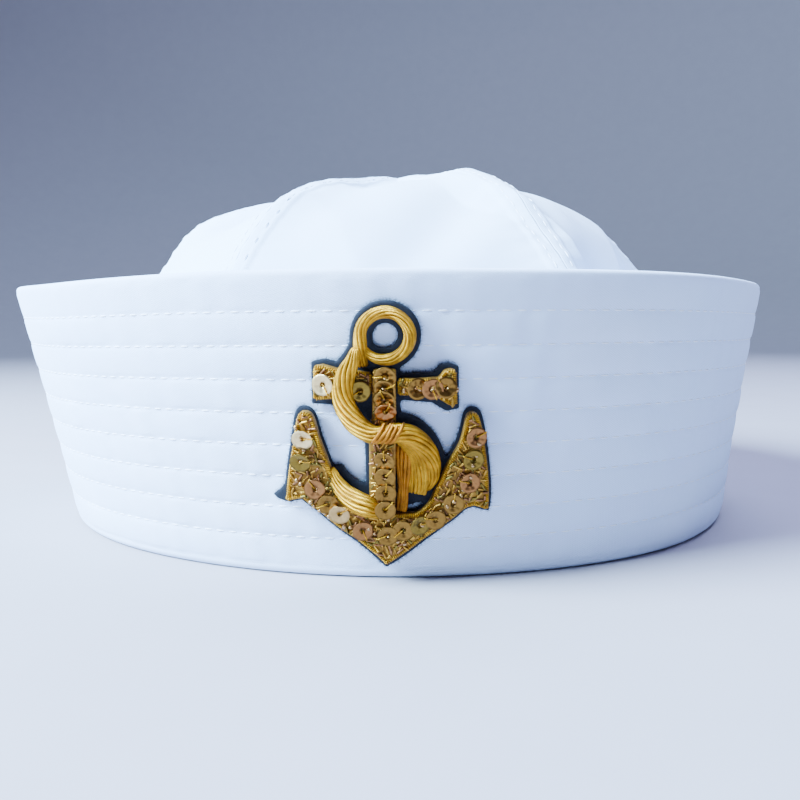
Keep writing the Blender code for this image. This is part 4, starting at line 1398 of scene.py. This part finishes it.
# %% Draw tubes and bundles
def tubes(name, lines, radii, sides=7):
    """One mesh of round tubes with closed ends along lines of points in space."""
    points, faces, flat, start = [], [], [], 0
    for line, radius in zip(lines, radii):
        way = np.gradient(line, axis=0)
        way /= np.linalg.norm(way, axis=1, keepdims=True)
        first = np.cross(way, np.array([0.0, -1.0, 0.13]))
        first /= np.linalg.norm(first, axis=1, keepdims=True)
        second = np.cross(way, first)
        turn = 2 * math.pi * np.arange(sides) / sides
        size = np.broadcast_to(radius, (len(line),)).copy()
        size[[0, -1]] *= 0.4
        ring = first[:, None] * np.cos(turn)[None, :, None]
        ring = ring + second[:, None] * np.sin(turn)[None, :, None]
        points.append((line[:, None] + ring * size[:, None, None]).reshape(-1, 3))
        around = turn * float(np.mean(radius))
        flat.append(np.stack(np.meshgrid(around, walked_along(line)), axis=-1).reshape(-1, 2))
        faces += grid_faces(len(line), sides, close_columns=True, start=start).tolist()
        faces.append([start + k for k in range(sides)][::-1])
        faces.append([start + (len(line) - 1) * sides + k for k in range(sides)])
        start += len(line) * sides
    return mesh_from_arrays(name, np.vstack(points), faces, np.vstack(flat))


Bundle = namedtuple("Bundle", "threads flatten twist first_turn thread_share")
THREAD_LIMITS = (0.24 * MM, 0.50 * MM)
BUNDLE_DEPTH = 1.7 * MM


def bundle(path, kind, wobble=0.06 * MM, seed=1):
    """Threads round a middle line of (across, up, lift, half width): lines and radii."""
    random = np.random.default_rng(seed)
    path = even_path(path, 0.5 * MM)
    way = np.gradient(path[:, :2], axis=0)
    way /= np.linalg.norm(way, axis=1, keepdims=True)
    beside = np.stack([way[:, 1], -way[:, 0]], axis=1)
    walked = walked_along(path[:, :2])
    thread_radius = np.clip(kind.thread_share * path[:, 3], *THREAD_LIMITS)
    lines, radii = [], []
    for thread in range(kind.threads):
        turn = 2 * math.pi * (thread / kind.threads + walked / kind.twist) + kind.first_turn
        reach = path[:, 3] - thread_radius
        stray = wobble * np.sin(walked / random.uniform(2.2, 4.5) / MM + random.uniform(0, 6.28))
        flat = np.empty((len(path), 3))
        flat[:, :2] = path[:, :2] + beside * (reach * np.cos(turn) + stray)[:, None]
        flat[:, 2] = path[:, 2] + np.minimum(reach, BUNDLE_DEPTH) * kind.flatten * np.sin(turn)
        flat[:, 2] = flat[:, 2] + stray
        lines.append(on_wall(flat))
        radii.append(thread_radius)
    return lines, radii


print("Tubes and bundles are ready")

# %% [markdown]
# ### The ring and the rope
#
# The ring, the rope and its tail each are one bundle along its drawn middle line. Ten or eleven
# threads with a slow twist leave grooves that are deep enough to be seen from half a metre.

# %% Lay the rope
def add_threads(name, lines_and_radii, material, replaced=None):
    """A piece of laid threads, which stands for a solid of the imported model."""
    mesh = tubes(name, *lines_and_radii)
    piece = add_object(name, mesh, material)
    if replaced:
        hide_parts(replaced)
    print(name, "has", len(mesh.polygons), "faces")
    return piece


RING_BUNDLE = Bundle(threads=10, flatten=0.66, twist=40 * MM, first_turn=0.2, thread_share=0.29)
ROPE_BUNDLE = Bundle(threads=11, flatten=0.62, twist=34 * MM, first_turn=0.4, thread_share=0.25)
TAIL_BUNDLE = Bundle(threads=11, flatten=0.55, twist=60 * MM, first_turn=0.0, thread_share=0.24)
add_threads("anchor_ring_threads", bundle(ropes[0], RING_BUNDLE, 0.05 * MM, seed=5),
            gilt_thread, "anchor_ring")
add_threads("anchor_rope_threads", bundle(ropes[1], ROPE_BUNDLE, seed=3),
            gilt_thread, "anchor_rope")
add_threads("anchor_tail_threads", bundle(ropes[2], TAIL_BUNDLE, seed=4),
            gilt_thread, "anchor_rope_tail")

# %% [markdown]
# Inside the rope's right-hand turn the threads fan out. They are drawn as steps between two
# lines, the rope's inner edge and the innermost thread, and each one runs a little deeper than
# the one outside it. A few copper-coloured threads run down beside the shank, and others bind
# the crossing, where the rope is sewn down.

# %% Fan threads inside the turn
FAN_OUTSIDE = ((0.110, 0.512), (0.225, 0.492), (0.335, 0.440), (0.388, 0.384), (0.398, 0.324),
               (0.370, 0.272))
FAN_INSIDE = ((0.110, 0.490), (0.160, 0.470), (0.200, 0.436), (0.228, 0.386), (0.240, 0.330),
              (0.240, 0.272))


def between_lines(outside, inside, threads, low, high, radius, seed):
    """Threads in even steps from one flat line to another: lines and radii."""
    random = np.random.default_rng(seed)
    far = smooth_path([shared(*place) for place in outside], 8)
    near = smooth_path([shared(*place) for place in inside], 8)
    lines, radii = [], []
    for thread in range(threads):
        share = thread / max(1, threads - 1)
        stray = 0.12 * MM * np.sin(np.linspace(0, random.uniform(4, 9), len(far)) + thread)
        flat = np.empty((len(far), 3))
        flat[:, :2] = far + (near - far) * share
        flat[:, 0] += stray
        flat[:, 2] = high + (low - high) * share + stray + random.uniform(0, 0.12) * MM
        flat[:, 2] -= 0.5 * MM * np.linspace(-1, 1, len(far)) ** 8
        lines.append(on_wall(flat))
        radii.append(np.full(len(far), radius))
    return lines, radii


def bindings():
    """Short threads over the rope where it crosses the shank."""
    random = np.random.default_rng(12)
    lines, radii = [], []
    for place in np.linspace(-0.060, 0.110, 5):
        lean = random.uniform(0.055, 0.085)
        rows = []
        for share in np.linspace(-1, 1, 15):
            across, up = shared(place + lean * share, 0.533 + 0.040 * share)
            rows.append((across, up, GOLD_LOW + 2.5 * MM + 2.15 * MM * (1 - abs(share) ** 2.6)))
        lines.append(on_wall(np.array(rows)))
        radii.append(np.full(15, 0.34 * MM))
    return lines, radii


STRAND_LEFT = ((0.124, 0.470), (0.130, 0.400), (0.136, 0.330), (0.139, 0.262), (0.136, 0.195))
STRAND_RIGHT = ((0.214, 0.440), (0.229, 0.390), (0.224, 0.320), (0.211, 0.252), (0.190, 0.195))
add_threads(
    "anchor_coil_threads",
    between_lines(FAN_OUTSIDE, FAN_INSIDE, 6, GOLD_LOW + 0.55 * MM, GOLD_LOW + 1.7 * MM,
                  0.42 * MM, 7),
    gilt_thread, "anchor_rope_coil",
)
add_threads(
    "anchor_strand_threads",
    between_lines(STRAND_RIGHT, STRAND_LEFT, 4, GOLD_LOW + 0.6 * MM, GOLD_LOW + 0.9 * MM,
                  0.38 * MM, 9),
    orange_thread,
)
add_threads("anchor_binding_threads", bindings(), orange_thread)

# %% [markdown]
# ### The padded arms, shank and cross bar
#
# These are stuffed shapes that are covered with stitches. They are melted from the drawn
# outlines like the felt, but thicker and rounder, and the chips, the edging and the sequins then
# cover them.

# %% Pad the anchor
PADS = ("anchor_arms", "anchor_stock_left", "anchor_stock_right", "anchor_shank")
for source, outline in zip(PADS, outlines):
    mesh, _ = soft_shape(f"{source}_pad", [slab(outline, GOLD_LOW, GOLD_TOP)], 0.24 * MM, 6)
    pad = add_object(f"{source}_pad", mesh, gilt_pad)
    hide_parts(source)
print("Padded", len(PADS), "pieces")

# %% [markdown]
# ### Edging and chips of purl
#
# A line of purl is sewn round the arms and the cross bar to hide the raw edge of their
# stitches. Purl is a coil, so it is a helix round the outline: 1 mm wide with a turn every
# 0.4 mm. The inside is filled with chips, which are purl cut into pieces 1 to 2 mm long and
# sewn on like beads in every direction. Each is a short ribbed bar.

# %% Sew the edging
COIL_INSET = 0.4 * MM
COIL_RADIUS = 0.34 * MM
COIL_PITCH = 0.40 * MM
COIL_WIRE = 0.14 * MM


def purl_helix(outline, coil_radius, pitch, lift, steps=7):
    """A helix of wire along a closed flat outline."""
    path = even_path(np.vstack([outline, outline[:1]]), pitch / steps)
    way = np.gradient(path, axis=0)
    way /= np.linalg.norm(way, axis=1, keepdims=True)
    beside = np.stack([way[:, 1], -way[:, 0]], axis=1)
    turn = 2 * math.pi * np.arange(len(path)) / steps
    flat = np.empty((len(path), 3))
    flat[:, :2] = path + beside * (coil_radius * np.cos(turn))[:, None]
    flat[:, 2] = lift + coil_radius * np.sin(turn)
    return on_wall(flat)


coils = [
    purl_helix(inset(outline, COIL_INSET), COIL_RADIUS, COIL_PITCH, GOLD_TOP - 0.1 * MM)
    for outline in edged
]
edging = add_object(
    "anchor_edging_purl", tubes("anchor_edging_purl", coils, [COIL_WIRE] * len(coils), 4),
    gilt_thread,
)
print("The edging has", len(edging.data.polygons), "faces")


# %% Scatter the chips
CHIP_GAP = 0.62 * MM
CHIP_RADIUS = 0.27 * MM


def inside(outline, places):
    """Which places lie inside a closed flat outline."""
    x, y = places[:, 0], places[:, 1]
    found = np.zeros(len(places), dtype=bool)
    for (x1, y1), (x2, y2) in zip(outline, np.roll(outline, -1, axis=0)):
        if y1 != y2:
            crosses = (y1 > y) != (y2 > y)
            found ^= crosses & (x < (x2 - x1) * (y - y1) / (y2 - y1) + x1)
    return found


def ribbed_bar(ribs, sides):
    """A short bar of tightly wound wire, along X from -0.5 to 0.5."""
    points, rings = [], 2 * ribs + 1
    for ring in range(rings):
        share = ring / (rings - 1)
        radius = (1.0 if ring % 2 else 0.78) * (0.6 if ring in (0, rings - 1) else 1.0)
        for side in range(sides):
            turn = 2 * math.pi * side / sides
            points.append((share - 0.5, radius * math.cos(turn), radius * math.sin(turn)))
    caps = [list(range(sides))[::-1], list(range((rings - 1) * sides, rings * sides))]
    return np.array(points), grid_faces(rings, sides, close_columns=True).tolist(), caps


def spread_out(outline, margin, gap, random, tries=5000):
    """Random places inside an outline that keep a gap from each other."""
    room = inset(outline, margin)
    found = random.uniform(outline.min(axis=0), outline.max(axis=0), (tries, 2))
    found = found[inside(room, found)]
    kept = np.empty((0, 2))
    for place in found:
        if not len(kept) or np.min(np.sum((kept - place) ** 2, axis=1)) > gap**2:
            kept = np.vstack([kept, place])
    return kept


def lay_on_badge(name, shape, places, ways, lift, lean, length, radius):
    """Copies of a shape at flat places of the badge, each turned its own way."""
    flat = np.column_stack([places, lift])
    centres = on_wall(flat)
    step = np.column_stack([np.cos(ways), np.sin(ways), lean])
    along = on_wall(flat + step * 0.2 * MM) - centres
    out = on_wall(flat + np.array([0, 0, 0.2 * MM])) - centres
    return copies(name, shape, centres, along, out, length, radius)


def scatter_chips():
    """Chips of purl over every pad, as close together as they fit, in three metals."""
    random = np.random.default_rng(8)
    chosen = np.vstack([spread_out(outline, CHIP_GAP, CHIP_GAP, random) for outline in outlines])
    ways = random.uniform(0, math.pi, len(chosen))
    lift = GOLD_TOP + random.uniform(-0.1, 0.35, len(chosen)) * MM
    lean = random.uniform(-0.35, 0.35, len(chosen))
    size = random.uniform(0.9, 1.9, len(chosen)) * MM
    metals = random.choice(3, len(chosen), p=(0.58, 0.26, 0.16))
    for number, (kind, metal) in enumerate(
        (("gilt", gilt_purl), ("copper", copper_purl), ("bronze", bronze_purl))
    ):
        some = metals == number
        name = f"anchor_chips_{kind}"
        mesh = lay_on_badge(name, ribbed_bar(4, 6), chosen[some], ways[some], lift[some],
                            lean[some], size[some], CHIP_RADIUS)
        add_object(name, mesh, metal)
        print(name, "has", int(some.sum()), "chips")


scatter_chips()

# %% [markdown]
# ### Sequins and beads
#
# A sequin is a disc stamped from foil, cupped, with pressed flutes and a hole in its middle
# where the thread comes up. Each lies at its own small tilt, so a few catch the light and the
# rest stay dark. TONES also paints the same glints and shade into their foils: painted
# highlight on the bright and pale ones, and painted shade on the darker ones. They replace the
# flat washers of the imported model one for one. SLIPS says how far, in millimetres across and
# up, a few of them sit from there, and the rest share one usual slip: loose sequins lie where
# the thread let them. Each is held by a stitch from its hole over its edge, and loose rows of
# seed beads lie between them.

# %% Stamp and sew the sequins
SEQUIN_RADIUS = 2.0 * MM
SEQUIN_HOLE = 0.5 * MM
# Sequins 9 and 14 get the bright foil and 18 the pale one as painted glints. The rest get darker
# foils, partly painted shade.
TONES = {9: "bright", 14: "bright", 10: "olive", 15: "olive", 16: "rose", 18: "pale",
         19: "rose", 4: "rose", 12: "rose", 22: "olive", 25: "rose", 26: "olive", 27: "rose"}
SLIPS = {9: (0.6, 0.8), 11: (-0.1, 0.95), 12: (-0.2, 0.95), 13: (-0.7, 0.9), 14: (0.6, 0.8),
         18: (0.2, 1.5), 26: (-0.2, 0.5), 27: (-0.3, 0.5)}
USUAL_SLIP = (0.15, 0.45)


def sequin_shape(sides=32):
    """A cupped, fluted disc with a hole, as points (across, up, lift)."""
    rings = ((SEQUIN_HOLE, 0.02), (0.95 * MM, 0.0), (1.05 * MM, 0.05), (1.5 * MM, 0.17),
             (SEQUIN_RADIUS, 0.34))
    points = []
    for thickness in (0.08 * MM, 0.0):
        for number, (radius, lift) in enumerate(rings if thickness else rings[::-1]):
            outer = number > 1 if thickness else number < 3
            for side in range(sides):
                turn = 2 * math.pi * side / sides
                flute = 0.05 * MM * math.cos(8 * turn) if outer else 0.0
                points.append((radius * math.cos(turn), radius * math.sin(turn),
                               lift * MM + flute + thickness))
    faces = grid_faces(2 * len(rings), sides, close_rows=True, close_columns=True)
    return np.array(points), faces.tolist()


sequin_points, sequin_faces = sequin_shape()
random = np.random.default_rng(4)
sequins = sorted(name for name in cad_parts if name.startswith("sequin_"))
sewn = []
for number, name in enumerate(sequins, start=1):
    corners = np.array([v.co[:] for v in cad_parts[name].data.vertices])
    middle = corners.mean(axis=0)
    normal = np.linalg.svd(corners - middle, full_matrices=False)[2][2]
    normal = normal if normal[1] < 0 else -normal
    normal = normal + random.normal(0, 0.10, 3)
    normal /= np.linalg.norm(normal)
    side = np.cross((0, 0, 1.0), normal)
    side /= np.linalg.norm(side)
    up = np.cross(normal, side)
    turn = random.uniform(0, 2 * math.pi)
    basis = np.array([side * math.cos(turn) + up * math.sin(turn),
                      up * math.cos(turn) - side * math.sin(turn), normal])
    slip = np.array(SLIPS.get(number, USUAL_SLIP)) * MM
    centre = middle + normal * 0.4 * MM + side * slip[0] + up * slip[1]
    mesh = mesh_from_arrays(name + "_foil", centre + sequin_points @ basis, sequin_faces)
    foiled = FOILS[TONES.get(number, "bronze")]
    piece = add_object(name + "_foil", mesh, foiled)
    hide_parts(name)
    sewn.append((centre, basis))
print("Sewed on", len(sequins), "sequins")


# %% Hold them with stitches and beads
def sequin_stitches():
    """A thread from each sequin's hole over its edge."""
    places = ((0.1, -0.1), (0.5, 0.22), (1.1, 0.32), (1.7, 0.46), (2.05, 0.50), (2.2, 0.1))
    lines = []
    for centre, basis in sewn:
        turn = random.uniform(0, 2 * math.pi)
        out = basis[0] * math.cos(turn) + basis[1] * math.sin(turn)
        path = [centre + out * away * MM + basis[2] * lift * MM for away, lift in places]
        lines.append(smooth_path(path, 3))
    return lines, [np.full(len(line), 0.11 * MM) for line in lines]


def bead_shape(rings=7, sides=9):
    """A small glass bead, a ring with its hole along X, from -0.5 to 0.5."""
    points = []
    for ring in range(rings):
        turn = math.pi * (0.14 + 0.72 * ring / (rings - 1))
        for side in range(sides):
            around = 2 * math.pi * side / sides
            points.append((-0.5 * math.cos(turn), math.sin(turn) * math.cos(around),
                           math.sin(turn) * math.sin(around)))
    caps = [list(range(sides))[::-1], list(range((rings - 1) * sides, rings * sides))]
    return np.array(points), grid_faces(rings, sides, close_columns=True).tolist(), caps


BeadRow = namedtuple("BeadRow", "start end count")
BEAD_ROWS = (
    BeadRow((0.165, 0.690), (0.270, 0.688), 2),
    BeadRow((0.350, 0.700), (0.660, 0.700), 5),
    BeadRow((0.000, 0.765), (0.000, 0.590), 6),
    BeadRow((0.055, 0.450), (0.040, 0.180), 6),
    BeadRow((-0.060, 0.400), (-0.050, 0.200), 4),
    BeadRow((-0.845, 0.330), (-0.740, 0.300), 3),
    BeadRow((-0.720, 0.240), (-0.330, 0.135), 9),
    BeadRow((-0.130, 0.130), (0.180, 0.075), 6),
    BeadRow((0.300, 0.130), (0.720, 0.270), 8),
    BeadRow((0.760, 0.300), (0.900, 0.480), 5),
    BeadRow((-0.830, 0.540), (-0.760, 0.450), 3),
)


def seed_beads():
    """Beads in loose rows, each turned its own way."""
    places = []
    for row in BEAD_ROWS:
        for share in np.linspace(0, 1, row.count):
            across = row.start[0] + (row.end[0] - row.start[0]) * share
            up = row.start[1] + (row.end[1] - row.start[1]) * share
            places.append(shared(across, up) + random.normal(0, 0.22 * MM, 2))
    places = np.array(places)
    count = len(places)
    return lay_on_badge(
        "anchor_seed_beads", bead_shape(), places, random.uniform(0, math.pi, count),
        GOLD_TOP + random.uniform(0.45, 0.8, count) * MM, random.uniform(-0.4, 0.4, count),
        0.75 * MM, random.uniform(0.42, 0.56, count) * MM,
    )


add_threads("sequin_stitches", sequin_stitches(), gilt_thread)
beads = add_object("anchor_seed_beads", seed_beads(), bead_glass)
print("The beads have", len(beads.data.polygons), "faces")

# %% [markdown]
# ## Light, floor and camera
#
# The cap stands on a plain pale floor that sweeps up all round into a wall. A broad cool light
# from the front left does most of the work, so the brim falls off to a lavender grey on the
# right. A ceiling globe and a soft light from behind keep the crown's top and right side bright,
# and a faint lavender sky fills the shadows. The camera stands close, a hand's length in front
# of the badge, with a wide lens, which is why the brim seems to sweep down at its middle.

# %% Set the floor, the lights and the camera
floor_finish, shader = new_material("matt_studio_floor", Roughness=0.9)
where = node(floor_finish, "ShaderNodeTexCoord")
grain = node(
    floor_finish, "ShaderNodeTexNoise", inputs={"Scale": 40.0, "Detail": 6.0},
    links=[("Vector", where, "Object")],
)
shade = node(
    floor_finish, "ShaderNodeMix", {"data_type": "RGBA"},
    {"A": hex_colour("#A2979A"), "B": hex_colour("#A89DA0")}, [("Factor", grain, "Fac")],
)
connect(floor_finish, shade, "Result", shader, "Base Color")
flat_reach, sweep, wall_rise, sides = 1.5, 0.9, 1.4, 96
profile = [(reach, 0.0) for reach in (0.02, 0.3, 0.8, flat_reach)]
for turn in np.radians(np.arange(6, 91, 6)):
    profile.append((flat_reach + sweep * math.sin(turn), sweep * (1 - math.cos(turn))))
profile.append((flat_reach + sweep, sweep + wall_rise))
around = np.linspace(0, 2 * math.pi, sides, endpoint=False)
floor_points = [(r * math.cos(a), r * math.sin(a), z) for r, z in profile for a in around]
floor_faces = grid_faces(len(profile), sides, close_columns=True)[:, ::-1].tolist()
floor_faces.append(list(range(sides)))
floor_mesh = mesh_from_arrays("studio_floor", floor_points, floor_faces)
floor_mesh.materials.append(floor_finish)
floor = bpy.data.objects.new("studio_floor", floor_mesh)
bpy.context.scene.collection.objects.link(floor)

Lamp = namedtuple("Lamp", "name kind azimuth elevation distance size power colour")
LAMPS = (
    Lamp("key_left", "AREA", -66, 38, 0.95, 0.55, 134.0, "#B0DAFF"),
    Lamp("ceiling_globe", "POINT", 50, 82, 1.1, 0.8, 22.0, "#B8BCFF"),
    Lamp("back_soft", "AREA", 134, 58, 1.1, 0.9, 32.0, "#B0C8FF"),
)
for lamp in LAMPS:
    data = bpy.data.lights.new(lamp.name, lamp.kind)
    data.energy = lamp.power
    data.color = hex_colour(lamp.colour)[:3]
    if lamp.kind == "AREA":
        data.shape, data.size = "DISK", lamp.size
    else:
        data.shadow_soft_size = lamp.size / 2
    light = bpy.data.objects.new(lamp.name, data)
    azimuth, elevation = math.radians(lamp.azimuth), math.radians(lamp.elevation)
    way = Vector((math.sin(azimuth) * math.cos(elevation),
                  -math.cos(azimuth) * math.cos(elevation), math.sin(elevation)))
    light.location = Vector((0, 0, 0.05)) + way * lamp.distance
    light.rotation_euler = way.to_track_quat("Z", "Y").to_euler()
    bpy.context.scene.collection.objects.link(light)

world = bpy.data.worlds.new("pale_studio")
world.use_nodes = True
background = world.node_tree.nodes["Background"]
background.inputs["Color"].default_value = hex_colour("#A498FF")
background.inputs["Strength"].default_value = 0.19
bpy.context.scene.world = world

CAMERA_PLACE = Vector((2.64 * MM, -260 * MM, 49.3 * MM))
YAW, PITCH, ROLL = (math.radians(turn) for turn in (0.07, 4.84, 0.33))
SENSOR_WIDTH = 36
FOCAL_PIXELS, PICTURE_PIXELS = 850.6, 800
level_side = Vector((math.cos(YAW), -math.sin(YAW), 0))
level_ahead = Vector((math.sin(YAW), math.cos(YAW), 0))
upward = Vector((0, 0, 1))
ahead = level_ahead * math.cos(PITCH) - upward * math.sin(PITCH)
up = level_ahead * math.sin(PITCH) + upward * math.cos(PITCH)
side = level_side * math.cos(ROLL) - up * math.sin(ROLL)
up = level_side * math.sin(ROLL) + up * math.cos(ROLL)
camera_data = bpy.data.cameras.new("close_camera")
camera_data.sensor_width = SENSOR_WIDTH
camera_data.lens = SENSOR_WIDTH * FOCAL_PIXELS / PICTURE_PIXELS
camera_data.clip_start = 0.01
camera = bpy.data.objects.new("close_camera", camera_data)
pose = Matrix((side, up, -ahead)).transposed().to_4x4()
pose.translation = CAMERA_PLACE
camera.matrix_world = pose
bpy.context.scene.collection.objects.link(camera)
bpy.context.scene.camera = camera
print("The lens is", round(camera_data.lens, 1), "mm")
